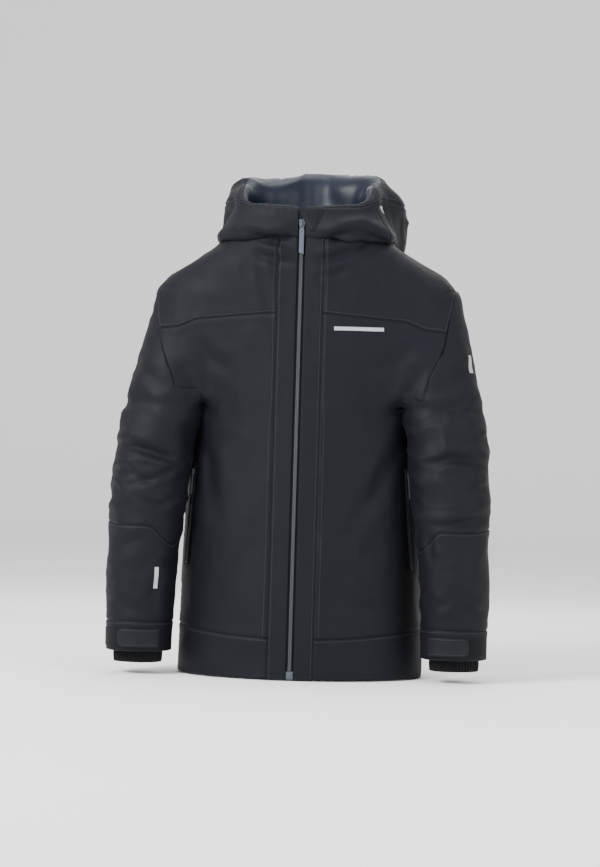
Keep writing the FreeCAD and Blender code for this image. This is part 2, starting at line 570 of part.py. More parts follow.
# ---------------------------------------------------------------- hand-pocket zips
POCKET_FRONT = "(-pocket_coil_thickness - slide_gap)"
for side, (frame, length) in pocket_frames.items():
    pieces = []
    for low, high in (("-pocket_zip_half", "-pocket_coil_inner"),
                      ("pocket_coil_inner", "pocket_zip_half")):
        pieces.append(block(f"pocket_tape_{side}", (low, 0, 0),
                            (high, "pocket_tape_thickness", length), frame))
    for low, high in (("-pocket_coil_outer", "-pocket_coil_inner"),
                      ("pocket_coil_inner", "pocket_coil_outer")):
        pieces.append(block(f"pocket_coil_{side}", (low, "-pocket_coil_thickness", 0),
                            (high, 0, length), frame))
    for low, high in (("0", "pocket_stop"), (f"{length} - pocket_stop", str(length))):
        pieces.append(block(f"pocket_end_{side}",
                            ("-pocket_slider_half", "-pocket_coil_thickness", low),
                            ("pocket_slider_half", "pocket_tape_thickness", high), frame))
    keep(fuse(f"pocket_zip_{side}", pieces), f"pocket_zip_{side}")

    middle = f"({length} - pocket_stop - seam_gap - pocket_slider_length / 2)"
    low, high = f"{middle} - pocket_slider_length / 2", f"{middle} + pocket_slider_length / 2"
    back_in = "(pocket_tape_thickness + slide_gap)"
    bodies = [block(f"pocket_front_{side}",
                    ("-pocket_slider_half", f"{POCKET_FRONT} - pocket_plate", low),
                    ("pocket_slider_half", POCKET_FRONT, high), frame),
              block(f"pocket_back_{side}", ("-pocket_slider_half", back_in, low),
                    ("pocket_slider_half", f"{back_in} + pocket_plate", high), frame),
              block(f"pocket_post_{side}",
                    ("-pocket_post / 2", f"{POCKET_FRONT} - pocket_plate / 2", low),
                    ("pocket_post / 2", f"{back_in} + pocket_plate / 2", high), frame)]
    crown_front = f"{POCKET_FRONT} - pocket_plate - pocket_crown_rise"
    bodies.append(block(f"pocket_crown_{side}",
                        ("-pocket_crown / 2", crown_front, f"{middle} - pocket_crown_length / 2"),
                        ("pocket_crown / 2", f"{POCKET_FRONT} - pocket_plate / 2",
                         f"{middle} + pocket_crown_length / 2"), frame))
    forward = f"pocket_plate + pocket_crown_rise / 2 - {POCKET_FRONT}"
    hole = pin(f"pocket_hole_{side}", "pocket_pin + pin_gap", "pocket_crown", forward, middle,
               frame)
    keep(cut(f"pocket_slider_{side}", fuse(f"pocket_body_{side}", bodies), hole),
         f"pocket_slider_{side}")

    arm_in = "pocket_crown / 2 + bail_gap"
    bridge_top = "(pocket_crown_length + pocket_bridge_gap)"
    face_front = f"-({forward}) - pocket_pull_thickness / 2"
    face_back = f"-({forward}) + pocket_pull_thickness / 2"
    pull = [pin(f"pocket_pin_{side}", "pocket_pin", f"{arm_in} + bail_arm", forward, middle,
                frame)]
    for arm_low, arm_high in ((f"-({arm_in} + bail_arm)", f"-({arm_in})"),
                              (arm_in, f"{arm_in} + bail_arm")):
        pull.append(block(f"pocket_arm_{side}",
                          (arm_low, face_front, f"{middle} - {bridge_top}"),
                          (arm_high, face_back, f"{middle} + pocket_pin"), frame))
    pull.append(block(f"pocket_bridge_{side}",
                      (f"-({arm_in} + bail_arm)", face_front,
                       f"{middle} - {bridge_top} - pocket_bridge"),
                      (f"{arm_in} + bail_arm", face_back, f"{middle} - {bridge_top}"),
                      frame))
    pull.append(block(f"pocket_tab_{side}",
                      ("-pocket_pull_width / 2", face_front, f"{middle} - pocket_pull_length"),
                      ("pocket_pull_width / 2", face_back, f"{middle} - {bridge_top}"),
                      frame))
    keep(fuse(f"pocket_pull_{side}", pull), f"pocket_pull_{side}")

# ---------------------------------------------------------------- studs and hanger loop
studs = []
for count in range(2):
    height = f"stud_low + {count} * stud_pitch"
    stud = add("Part::Cylinder", "stud", Radius="stud_radius", Height="stud_thickness")
    place = main_zip_frame(value(height), -value(f"{SKIRT_IN} + stud_thickness + seam_gap"))
    stud.Placement = place.multiply(
        FreeCAD.Placement(FreeCAD.Vector(), FreeCAD.Rotation(FreeCAD.Vector(1, 0, 0), 90)))
    studs.append(stud)
stud_group = doc.addObject("Part::Compound", "stud_group")
stud_group.Links = studs
keep(stud_group, "skirt_studs")

half_loop = add("Part::Torus", "loop_ring", Radius1="loop_radius", Radius2="loop_cord",
                Angle3=180)
loop_y = value(f"-front_reach + zip_slope * body_length + 2 * neck_half_depth - ({LINING_IN})"
               " - loop_stand")
half_loop.Placement = FreeCAD.Placement(FreeCAD.Vector(0, loop_y, value("body_length")),
                                        FreeCAD.Rotation(FreeCAD.Vector(1, 0, 0), -90))
keep(half_loop, "hanger_loop")

# ---------------------------------------------------------------- checks and files
doc.recompute()
faults = [item.Name for item in doc.Objects if {"Invalid", "Error"} & set(item.State)]
faults += [item.Label for item in parts if item.Shape.isNull() or not item.Shape.isValid()
           or not item.Shape.Solids]
if faults:
    raise RuntimeError(f"these objects failed: {faults}")
os.makedirs("parts", exist_ok=True)
for item in parts:
    item.Shape.exportStep(f"parts/{item.Label}.step")
    extent = item.Shape.optimalBoundingBox(False, False)
    print(f"{item.Label:22s} {len(item.Shape.Solids)} solids {item.Shape.Volume:10.0f} mm3"
          f"  x {extent.XMin:6.1f} {extent.XMax:6.1f}  y {extent.YMin:6.1f} {extent.YMax:6.1f}"
          f"  z {extent.ZMin:6.1f} {extent.ZMax:6.1f}")
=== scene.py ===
"""Looks of an insulated ski jacket with its hood down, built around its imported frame.

Metres. +Z is up from the hem, -Y is the centre front and +X is the wearer's left.
"""
import itertools
import logging
import math
from collections.abc import Callable, Sequence
from dataclasses import dataclass, field
from enum import Enum

import bpy
import numpy as np
from mathutils import Matrix, Vector


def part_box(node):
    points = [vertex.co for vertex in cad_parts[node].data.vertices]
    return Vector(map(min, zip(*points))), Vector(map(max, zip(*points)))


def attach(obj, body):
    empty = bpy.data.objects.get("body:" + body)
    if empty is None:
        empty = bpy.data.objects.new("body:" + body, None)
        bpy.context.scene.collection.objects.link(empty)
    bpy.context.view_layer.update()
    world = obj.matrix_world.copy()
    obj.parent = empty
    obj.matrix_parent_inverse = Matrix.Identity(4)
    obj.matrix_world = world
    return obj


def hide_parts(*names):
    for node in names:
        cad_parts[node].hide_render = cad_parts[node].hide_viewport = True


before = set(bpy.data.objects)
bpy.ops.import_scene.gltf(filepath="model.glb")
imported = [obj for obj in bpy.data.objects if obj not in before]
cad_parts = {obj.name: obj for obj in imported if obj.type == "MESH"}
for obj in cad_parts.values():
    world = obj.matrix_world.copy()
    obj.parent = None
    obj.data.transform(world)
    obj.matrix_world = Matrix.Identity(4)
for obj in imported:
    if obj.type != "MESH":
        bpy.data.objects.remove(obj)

LOG = logging.getLogger("jacket")
MM = 0.001
SIDES = {"left": 1.0, "right": -1.0}
ZIP_FOOT, ZIP_SLOPE = -0.163, 0.062      # where the zip stands at the hem, and how far it leans back
LEAN = math.atan(ZIP_SLOPE)
ZIP_AXES = np.array([(1, 0, 0), (0, math.cos(LEAN), -math.sin(LEAN)), (0, math.sin(LEAN), math.cos(LEAN))])
ZIP_ORIGIN = np.array([0, ZIP_FOOT, 0])
NECK = 0.722                                # height of the seam between the body and the collar


# ---------------------------------------------------------------- numbers
def smooth(low: float, high: float, value: np.ndarray) -> np.ndarray:
    """Ease from 0 at low to 1 at high."""
    share = np.clip((np.asarray(value, float) - low) / (high - low), 0.0, 1.0)
    return share * share * (3 - 2 * share)


def stations(length: float, step: float, fine: Sequence[float] = (0.0, 1.2, 2.4, 4.0)) -> np.ndarray:
    """Places along a piece of cloth, closer together beside its seams.

    Args:
        length: the run, in metres.
        step: the spacing away from the seams, in metres.
        fine: places near each end, in millimetres.

    Returns:
        Rising shares of the length, from 0 to 1.
    """
    near = np.array(fine) * MM / length
    middle = np.linspace(near[-1], 1 - near[-1], max(3, round(length / step)))
    return np.concatenate([near[:-1], middle, 1 - near[:-1][::-1]])


def normals_of(grid: np.ndarray, outward: np.ndarray) -> np.ndarray:
    """Unit normals of a grid of points.

    Args:
        grid: rows by columns by 3.
        outward: for each point, a direction that is roughly outward.

    Returns:
        The normals, pointing outward.
    """
    normal = np.cross(np.gradient(grid, axis=1), np.gradient(grid, axis=0))
    length = np.linalg.norm(normal, axis=-1, keepdims=True)
    normal = normal / np.maximum(length, 1e-12)
    return normal * (1.0 if (normal * outward).sum() > 0 else -1.0)


def level(height: float) -> Callable[[np.ndarray], np.ndarray]:
    """A seam that runs all round at one height."""
    return lambda place: np.full_like(place, height)


class Grain:
    """Smooth noise in space, the same each run."""

    LATTICE = 32

    def __init__(self, seed: int) -> None:
        """Fill the lattice from the seed."""
        self.values = np.random.default_rng(seed).uniform(-1, 1, (self.LATTICE,) * 3)

    def at(self, points: np.ndarray, pitch: Sequence[float]) -> np.ndarray:
        """Noise from -1 to 1 at points, with its pitch along each axis in metres."""
        place = points / np.asarray(pitch, float)
        cell = np.floor(place).astype(int)
        part = place - cell
        part = part ** 3 * (part * (part * 6 - 15) + 10)
        total = np.zeros(points.shape[:-1])
        for corner in itertools.product((0, 1), repeat=3):
            index = (cell + corner) % self.LATTICE
            weight = np.prod(np.where(corner, part, 1 - part), axis=-1)
            total += weight * self.values[index[..., 0], index[..., 1], index[..., 2]]
        return total

    def creases(self, points: np.ndarray, pitch: Sequence[float]) -> np.ndarray:
        """Thin rounded ridges, 1 along their crests, wandering as creased cloth does."""
        bend = np.stack([self.at(points + shift, (0.07,) * 3) for shift in (3.1, 7.7, 5.3)], axis=-1)
        return (1 - np.abs(self.at(points + 0.02 * bend, pitch))) ** 3


GRAIN = Grain(7)


# ---------------------------------------------------------------- form of the jacket
class Form:
    """The outer form: body rings and two sleeve tubes, blended at the shoulders."""

    # height, half width, half depth
    BODY = np.array([(-0.09, 0.2045, 0.140), (0.0, 0.204, 0.140), (0.0903, 0.203, 0.140),
                     (0.1798, 0.2009, 0.140), (0.3451, 0.1938, 0.1379), (0.387, 0.1875, 0.1372),
                     (0.4498, 0.1897, 0.1358), (0.5198, 0.2071, 0.1344), (0.5798, 0.2244, 0.1302),
                     (0.6303, 0.2336, 0.119), (0.665, 0.2203, 0.1099), (0.6902, 0.1836, 0.1015),
                     (0.7076, 0.153, 0.0959), (0.722, 0.136, 0.091), (0.762, 0.1312, 0.0956)])
    # height, centre across, centre back, radius
    SLEEVE = np.array([(0.0, 0.261, -0.087, 0.0538), (0.037, 0.261, -0.087, 0.0541),
                       (0.1097, 0.260, -0.087, 0.0554), (0.187, 0.258, -0.085, 0.0581),
                       (0.3004, 0.250, -0.078, 0.063), (0.387, 0.243, -0.062, 0.066),
                       (0.4397, 0.231, -0.047, 0.069), (0.4874, 0.218, -0.034, 0.072),
                       (0.5798, 0.1887, -0.012, 0.0789), (0.6397, 0.179, -0.004, 0.072),
                       (0.672, 0.168, -0.001, 0.0376), (0.70, 0.165, 0.0, -0.045)])
    # height and distance across of the seam that joins a sleeve to the body
    ARMHOLE = np.array([(0.40, 0.200), (0.438, 0.200), (0.487, 0.212), (0.545, 0.236),
                        (0.637, 0.248), (0.655, 0.251), (0.662, 0.33), (0.75, 0.33)])
    UNDERARM = 0.44
    EASE = np.linspace(-0.012, 0.012, 7)
    CORE = 0.62                             # the rays that find the cloth start this far across

    def __init__(self) -> None:
        """Work out how far round each level the front and the back reach."""
        self.levels = np.arange(-0.02, 0.76, 0.003)
        self.turns = {back: self.last_turn(self.levels, back) for back in (False, True)}

    def table(self, rings: np.ndarray, height: np.ndarray, column: int) -> np.ndarray:
        """One column of a table of rings at any height, eased over its corners."""
        height = np.asarray(height, float)
        return sum(np.interp(height + e, rings[:, 0], rings[:, column]) for e in self.EASE) / len(self.EASE)

    def body(self, height: np.ndarray) -> tuple[np.ndarray, np.ndarray, np.ndarray]:
        """Half width, half depth and centre of the body at a height."""
        wide, deep = self.table(self.BODY, height, 1), self.table(self.BODY, height, 2)
        return wide, deep, ZIP_FOOT + ZIP_SLOPE * np.asarray(height, float) + deep

    def sleeve(self, height: np.ndarray) -> tuple[np.ndarray, np.ndarray, np.ndarray]:
        """Centre across, centre back and radius of a sleeve at a height."""
        return tuple(self.table(self.SLEEVE, height, column) for column in (1, 2, 3))

    def armhole(self, height: np.ndarray) -> np.ndarray:
        """How far across the armhole seam runs at a height."""
        return np.interp(height, self.ARMHOLE[:, 0], self.ARMHOLE[:, 1])

    def gap(self, point: np.ndarray) -> np.ndarray:
        """Roughly how far outside the form a point is, negative inside."""
        across, height = np.abs(point[..., 0]), point[..., 2]
        wide, deep, centre = self.body(height)
        behind = point[..., 1] - centre
        power = 2 + 0.25 * smooth(0.38, 0.5, height)
        ratio = ((across / wide) ** power + (np.abs(behind) / deep) ** power) ** (1 / power)
        body = np.hypot(across, behind) * (1 - 1 / np.maximum(ratio, 1e-6))
        middle, back, radius = self.sleeve(height)
        sleeve = np.hypot(across - middle, point[..., 1] - back) - radius
        sleeve = sleeve + 0.06 * (1 - smooth(0.39, 0.462, height))
        blend = 0.002 + 0.043 * smooth(0.40, 0.47, height) * (1 - 0.5 * smooth(0.66, 0.7, height))
        near = np.clip(blend - np.abs(body - sleeve), 0, None) / blend
        return np.minimum(body, sleeve) - near * near * blend / 4

    def cast(self, start: np.ndarray, way: np.ndarray, reach: float = 0.2) -> np.ndarray:
        """Where level rays first leave the form.

        Args:
            start: points inside the form.
            way: unit directions.
            reach: how far to look, in metres.

        Returns:
            The points on the form.
        """
        low = np.zeros(start.shape[:-1])
        high = np.full_like(low, reach)
        found = np.zeros(low.shape, bool)
        for step in np.linspace(reach / 24, reach, 24):
            outside = self.gap(start + way * step) > 0
            high = np.where(outside & ~found, step, high)
            low = np.where(~outside & ~found, step, low)
            found |= outside
        for _ in range(14):
            middle = (low + high) / 2
            outside = self.gap(start + way * middle[..., None]) > 0
            high, low = np.where(outside, middle, high), np.where(outside, low, middle)
        return start + way * high[..., None]

    def torso_at(self, share: np.ndarray, height: np.ndarray, turn: np.ndarray, back: bool) -> np.ndarray:
        """The point of the body where a ray turned by an angle leaves it."""
        wide, _, centre = self.body(height)
        start = np.stack([self.CORE * wide * share, centre, height], axis=-1)
        ahead = np.cos(turn) * (1.0 if back else -1.0)
        way = np.stack([np.sin(turn), ahead, np.zeros_like(turn)], axis=-1)
        return self.cast(start, way)

    def last_turn(self, height: np.ndarray, back: bool) -> np.ndarray:
        """How far the rays turn at each height before they reach the armhole or the side."""
        full = np.full_like(height, math.pi / 2)
        limit = self.armhole(height)
        ones = np.ones_like(height)
        low, high = np.full_like(height, 0.05), full.copy()
        for _ in range(18):
            middle = (low + high) / 2
            past = self.torso_at(ones, height, middle, back)[:, 0] > limit
            high, low = np.where(past, middle, high), np.where(past, low, middle)
        joined = np.interp(self.UNDERARM + 0.022, height, high)
        mix = smooth(self.UNDERARM - 0.02, self.UNDERARM + 0.022, height)
        return np.where(mix < 1, full + (joined - full) * mix, high)

    def torso(self, share: np.ndarray, height: np.ndarray, back: bool = False) -> np.ndarray:
        """Points of the body.

        Args:
            share: from 0 at the centre to 1 at the side or armhole, signed for the side.
            height: height above the hem.
            back: whether this is the back of the jacket.

        Returns:
            The points.
        """
        size = np.abs(share)
        turn = size * np.interp(height, self.levels, self.turns[back])
        point = self.torso_at(size, height, turn, back)
        point[..., 0] *= np.where(share < 0, -1.0, 1.0)
        return point

    def share_at(self, across: float, height: np.ndarray) -> np.ndarray:
        """The share at which the front is a given distance across."""
        low, high = np.zeros_like(height), np.ones_like(height)
        for _ in range(16):
            middle = (low + high) / 2
            past = self.torso(middle, height)[..., 0] > across
            high, low = np.where(past, middle, high), np.where(past, low, middle)
        return high

    def tube(self, angle: np.ndarray, height: np.ndarray, side: float) -> np.ndarray:
        """Points of a sleeve, by the angle from straight out, through the front at a right angle."""
        across, back, radius = self.sleeve(height)
        start = np.stack([across, back, height], axis=-1)
        way = np.stack([np.cos(angle), -np.sin(angle), np.zeros_like(angle)], axis=-1)
        circle = start + way * radius[..., None]
        joined = self.cast(start, way, 0.13)
        buried = np.linalg.norm(joined - start, axis=-1) > 0.115
        inner = start + way * (radius - 0.006)[..., None]
        joined = np.where(buried[..., None], inner, joined)
        mix = smooth(self.UNDERARM - 0.012, self.UNDERARM + 0.04, height)[..., None]
        point = circle * (1 - mix) + joined * mix
        point[..., 0] *= side
        return point

    def sleeve_top(self, angle: np.ndarray) -> np.ndarray:
        """The height at which a sleeve meets the armhole, for each angle."""
        top = np.full_like(angle, self.UNDERARM + 0.03)
        for height in np.arange(self.UNDERARM, 0.662, 0.002):
            level = np.full_like(angle, height)
            across = self.tube(angle, level, 1.0)[..., 0]
            top = np.where(across >= self.armhole(level) - 0.001, np.maximum(top, height), top)
        return top


FORM = Form()


# ---------------------------------------------------------------- folds
@dataclass(frozen=True)
class Fold:
    """A crease along a line seen from the front or the back, in millimetres across and up."""

    line: Sequence[tuple[float, float]]
    depth: float
    width: float
    back: bool = False

    def push(self, point: np.ndarray, normal: np.ndarray) -> np.ndarray:
        """How far the fold moves each point: a valley with a fuller roll above it."""
        flat = point[..., [0, 2]] / MM
        nearest = np.full(flat.shape[:-1], 1e9)
        signed, along = np.zeros_like(nearest), np.zeros_like(nearest)
        pairs = list(zip(self.line, self.line[1:]))
        for count, (start, end) in enumerate(pairs):
            start, run = np.array(start, float), np.subtract(end, start)
            share = np.clip(((flat - start) @ run) / (run @ run), 0, 1)
            offset = flat - start - share[..., None] * run
            distance = np.hypot(offset[..., 0], offset[..., 1])
            side = np.sign(run[0] * offset[..., 1] - run[1] * offset[..., 0]) * np.sign(run[0] or 1)
            closer = distance < nearest
            nearest = np.where(closer, distance, nearest)
            signed = np.where(closer, distance * side, signed)
            along = np.where(closer, (count + share) / len(pairs), along)
        taper = np.clip(np.sin(np.pi * np.clip(along, 0.04, 0.96)), 0, 1) ** 0.6
        valley = np.exp(-(signed / self.width) ** 2)
        roll = np.exp(-((signed - 1.9 * self.width) / (1.3 * self.width)) ** 2)
        lip = np.exp(-((signed + 1.7 * self.width) / (1.1 * self.width)) ** 2)
        facing = smooth(0.0, 0.45, normal[..., 1] * (1 if self.back else -1))
        return self.depth * MM * taper * facing * (0.75 * roll + 0.3 * lip - valley)


TORSO_FOLDS = (
    Fold(((-96, 728), (-60, 716), (-30, 714), (-8, 722)), 7, 9),
    Fold(((-84, 706), (-62, 690), (-30, 680), (4, 678)), 6, 8),
    Fold(((-74, 694), (-66, 660), (-56, 628), (-48, 596)), 4, 6),
    Fold(((-92, 690), (-90, 655), (-82, 620)), 2.6, 6),
    Fold(((40, 716), (64, 724), (96, 732), (140, 716)), 6, 8),
    Fold(((108, 722), (80, 700), (48, 686), (14, 682)), 6, 8),
    Fold(((80, 680), (62, 664), (34, 658)), 3.4, 6),
    Fold(((34, 684), (30, 655), (38, 628)), 2.6, 5),
    Fold(((96, 668), (120, 630), (128, 590)), 2.4, 9),
    Fold(((180, 425), (150, 350), (110, 270), (74, 215)), 3.6, 13),
    Fold(((196, 500), (176, 460), (150, 430)), 5, 9),
    Fold(((-198, 500), (-178, 456), (-150, 432)), 5, 9),
    Fold(((-186, 560), (-150, 520), (-112, 500)), 2.4, 12),
    Fold(((186, 556), (156, 520), (120, 505)), 2.2, 12),
    Fold(((-176, 420), (-150, 330), (-128, 250)), 2.6, 14),
    Fold(((-60, 240), (-100, 170), (-150, 130)), 2.0, 13),
    Fold(((60, 150), (104, 120), (160, 116)), 1.8, 12),
    Fold(((-180, 470), (-120, 520), (-60, 560)), 2.6, 12, True),
    Fold(((180, 470), (120, 525), (54, 566)), 2.6, 12, True),
    Fold(((-150, 320), (-40, 300), (60, 330), (150, 310)), 2.4, 14, True),
    Fold(((-120, 200), (0, 215), (110, 190)), 2.0, 14, True),
)
SLEEVE_FOLDS = {
    "right": (
        Fold(((-322, 372), (-282, 376), (-240, 366), (-196, 350)), 7.5, 7.5),
        Fold(((-200, 340), (-232, 322), (-272, 312)), 4.5, 6),
        Fold(((-318, 327), (-284, 334), (-240, 318)), 4.0, 6),
        Fold(((-262, 292), (-226, 276), (-204, 286)), 3.4, 6),
        Fold(((-312, 440), (-268, 452), (-222, 430)), 3.0, 11),
        Fold(((-296, 520), (-262, 500), (-228, 470)), 2.6, 11),
        Fold(((-306, 200), (-280, 212), (-244, 226)), 2.0, 9),
        Fold(((-312, 122), (-280, 116), (-252, 96)), 2.2, 8),
        Fold(((-222, 160), (-232, 128), (-226, 98)), 2.4, 7),
    ),
    "left": (
        Fold(((218, 356), (252, 366), (286, 362), (322, 346)), 7.5, 7.5),
        Fold(((206, 258), (240, 256), (276, 260), (316, 276)), 4.6, 6.5),
        Fold(((322, 320), (300, 316), (268, 328)), 3.4, 6),
        Fold(((223, 244), (221, 218), (226, 194)), 2.8, 6),
        Fold(((268, 150), (250, 132), (226, 114)), 2.4, 7),
        Fold(((322, 114), (298, 118), (270, 124)), 2.4, 6),
        Fold(((240, 104), (262, 98), (284, 102)), 1.8, 6),
        Fold(((222, 430), (266, 450), (308, 438)), 3.0, 11),
        Fold(((230, 470), (262, 500), (292, 524)), 2.4, 11),
    ),
}


def torso_drape(point: np.ndarray, normal: np.ndarray) -> np.ndarray:
    """How far the body's cloth stands off its form."""
    across, height = np.abs(point[..., 0]), point[..., 2]
    push = 0.0022 * GRAIN.at(point, (0.085, 0.085, 0.12))
    push = push + 0.0020 * GRAIN.creases(point, (0.075, 0.09, 0.16)) - 0.0008
    push = push + 0.0010 * GRAIN.at(point, (0.030, 0.030, 0.042)) * smooth(0.05, 0.12, height)
    push = push + 0.0016 * (GRAIN.creases(point + 1.1, (0.034, 0.04, 0.10)) - 0.3) * smooth(0.08, 0.2, height)
    push = push + 1.15 * sum(fold.push(point, normal) for fold in TORSO_FOLDS)
    front = smooth(0.0, 0.3, -normal[..., 1])
    by_zip = 1 - front * (1 - smooth(0.006, 0.05, across))
    push = push * (by_zip + 0.3 * (1 - by_zip) * smooth(0.64, 0.69, height))
    pocket = np.abs(across - (0.1865 - 0.0727 * (height - 0.18)))
    beside = (1 - smooth(0.010, 0.026, pocket)) * smooth(0.16, 0.175, height)
    push = push * (1 - beside * (1 - smooth(0.35, 0.365, height)) * front)
    groove = (1 - smooth(0.004, 0.008, pocket)) * smooth(0.174, 0.178, height)
    groove = groove * (1 - smooth(0.347, 0.351, height))
    return push * smooth(-0.01, 0.05, height) * 0.9 - 0.0016 * groove * front


def sleeve_drape(side: str) -> Callable[[np.ndarray, np.ndarray], np.ndarray]:
    """The drape of one sleeve's cloth, as a function of point and normal."""
    def drape(point: np.ndarray, normal: np.ndarray) -> np.ndarray:
        """How far the sleeve's cloth stands off its form."""
        height = point[..., 2]
        elbow = smooth(0.24, 0.29, height) * (1 - smooth(0.40, 0.48, height))
        push = 0.0018 * GRAIN.at(point + 1.7, (0.06, 0.06, 0.05))
        push = push + (0.001 + 0.0034 * elbow) * (GRAIN.creases(point + 4.2, (0.11, 0.11, 0.034)) - 0.35)
        push = push + 0.0009 * GRAIN.at(point, (0.022, 0.022, 0.024))
        push = push + 0.0016 * (GRAIN.creases(point + 8.4, (0.05, 0.05, 0.026)) - 0.3)
        push = push + sum(fold.push(point, normal) for fold in SLEEVE_FOLDS[side])
        return push * smooth(0.07, 0.12, height)
    return drape


# ---------------------------------------------------------------- meshes
def mesh_object(name: str, points: np.ndarray, faces: list, body: str = "jacket",
                smoothed: bool = True) -> bpy.types.Object:
    """Make a mesh piece that rides on a body.

    Args:
        name: the piece's name.
        points: its vertices.
        faces: lists of vertex numbers.
        body: the body that it moves with.
        smoothed: whether its faces are shaded as one curved surface.

    Returns:
        The new object.
    """
    mesh = bpy.data.meshes.new(name)
    corners = np.asarray(points, float).reshape(-1, 3).tolist()
    mesh.from_pydata(corners, [], [list(map(int, face)) for face in faces])
    mesh.polygons.foreach_set("use_smooth", [smoothed] * len(mesh.polygons))
    mesh.update()
    piece = bpy.data.objects.new(name, mesh)
    bpy.context.scene.collection.objects.link(piece)
    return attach(piece, body)


def grid_faces(rows: int, columns: int, round_columns: bool = False, start: int = 0) -> list:
    """Faces between neighbouring points of a grid."""
    wrap = columns if round_columns else columns - 1
    return [(start + r * columns + c, start + r * columns + (c + 1) % columns,
             start + (r + 1) * columns + (c + 1) % columns, start + (r + 1) * columns + c)
            for r in range(rows - 1) for c in range(wrap)]


@dataclass
class Solids:
    """Small closed pieces gathered into one mesh."""

    points: list = field(default_factory=list)
    faces: list = field(default_factory=list)
    count: int = 0

    def put(self, points: np.ndarray, faces: Sequence) -> None:
        """Add a closed piece."""
        self.points.append(np.asarray(points, float))
        self.faces += [[self.count + i for i in face] for face in faces]
        self.count += len(points)

    def bar(self, centre: np.ndarray, half: np.ndarray, axes: np.ndarray, taper: float = 0.6) -> None:
        """Add a bar with slimmer ends, from its centre, half sizes and the rows of its axes."""
        rings = []
        for end, narrow in ((-1, taper), (-0.6, 1), (0.6, 1), (1, taper)):
            for u, v in ((-1, -1), (1, -1), (1, 1), (-1, 1)):
                rings.append(centre + (np.array([end, u * narrow, v * narrow]) * half) @ axes)
        faces = [(0, 1, 2, 3), (15, 14, 13, 12)]
        faces += [(4 * r + c, 4 * r + 4 + c, 4 * r + 4 + (c + 1) % 4, 4 * r + (c + 1) % 4)
                  for r in range(3) for c in range(4)]
        self.put(np.array(rings), faces)

    def rod(self, start: np.ndarray, end: np.ndarray, side: np.ndarray, overlap: float,
            half: tuple[float, float]) -> None:
        """Add a rod between two points, carried a little past them.

        Args:
            start: one end.
            end: the other end.
            side: unit direction across the rod.
            overlap: how many times its own length the rod is carried.
            half: half its width and half its thickness.
        """
        run = np.linalg.norm(end - start)
        along = (end - start) / run
        axes = np.array([along, side, np.cross(along, side)])
        self.bar((start + end) / 2, np.array([run / 2 * overlap, *half]), axes, 0.9)

    def build(self, name: str, body: str = "jacket", smoothed: bool = True) -> bpy.types.Object:
        """Make the one object."""
        return mesh_object(name, np.concatenate(self.points), self.faces, body, smoothed)


STITCH_LENGTH, STITCH_PITCH, STITCH_RADIUS = 2.6 * MM, 3.6 * MM, 0.3 * MM


def stitch(run: Solids, line: np.ndarray, normal: np.ndarray) -> None:
    """Sew a row of stitches along a line that lies on the cloth."""
    length = np.concatenate([[0], np.cumsum(np.linalg.norm(np.diff(line, axis=0), axis=1))])
    for at in np.arange(STITCH_PITCH, length[-1] - STITCH_PITCH, STITCH_PITCH):
        ends = [np.array([np.interp(at + d, length, line[:, k]) for k in range(3)])
                for d in (-STITCH_LENGTH / 2, STITCH_LENGTH / 2)]
        up = np.array([np.interp(at, length, normal[:, k]) for k in range(3)])
        along = (ends[1] - ends[0]) / max(np.linalg.norm(ends[1] - ends[0]), 1e-9)
        side = np.cross(along, up)
        side /= max(np.linalg.norm(side), 1e-9)
        axes = np.array([along, side, np.cross(side, along)])
        half = np.array([STITCH_LENGTH / 2, STITCH_RADIUS, STITCH_RADIUS])
        run.bar((ends[0] + ends[1]) / 2 + up * STITCH_RADIUS * 0.6, half, axes, 0.35)


class Edge(Enum):
    """The four edges of a piece of cloth laid out as rows and columns."""

    LOW = (0, False)
    HIGH = (0, True)
    FIRST = (1, False)
    LAST = (1, True)

    def distance(self, grid: np.ndarray) -> np.ndarray:
        """How far along the cloth each point is from this edge."""
        axis, far = self.value
        steps = np.linalg.norm(np.diff(grid, axis=axis), axis=-1)
        zero = np.zeros_like(np.take(steps, [0], axis=axis))
        run = np.concatenate([zero, np.cumsum(steps, axis=axis)], axis=axis)
        return np.take(run, [-1], axis=axis) - run if far else run

    def line(self, grid: np.ndarray, depth: int) -> np.ndarray:
        """The row or column that many places in from this edge."""
        axis, far = self.value
        return np.take(grid, grid.shape[axis] - 1 - depth if far else depth, axis=axis)


SEAM_SINK, SEAM_REACH = 1.3 * MM, 1.4 * MM
PUFF, PUFF_AT, PUFF_REACH = 0.6 * MM, 6 * MM, 5 * MM
PUCKER, PUCKER_PITCH = 0.35 * MM, 13 * MM
STITCH_ROW = 3


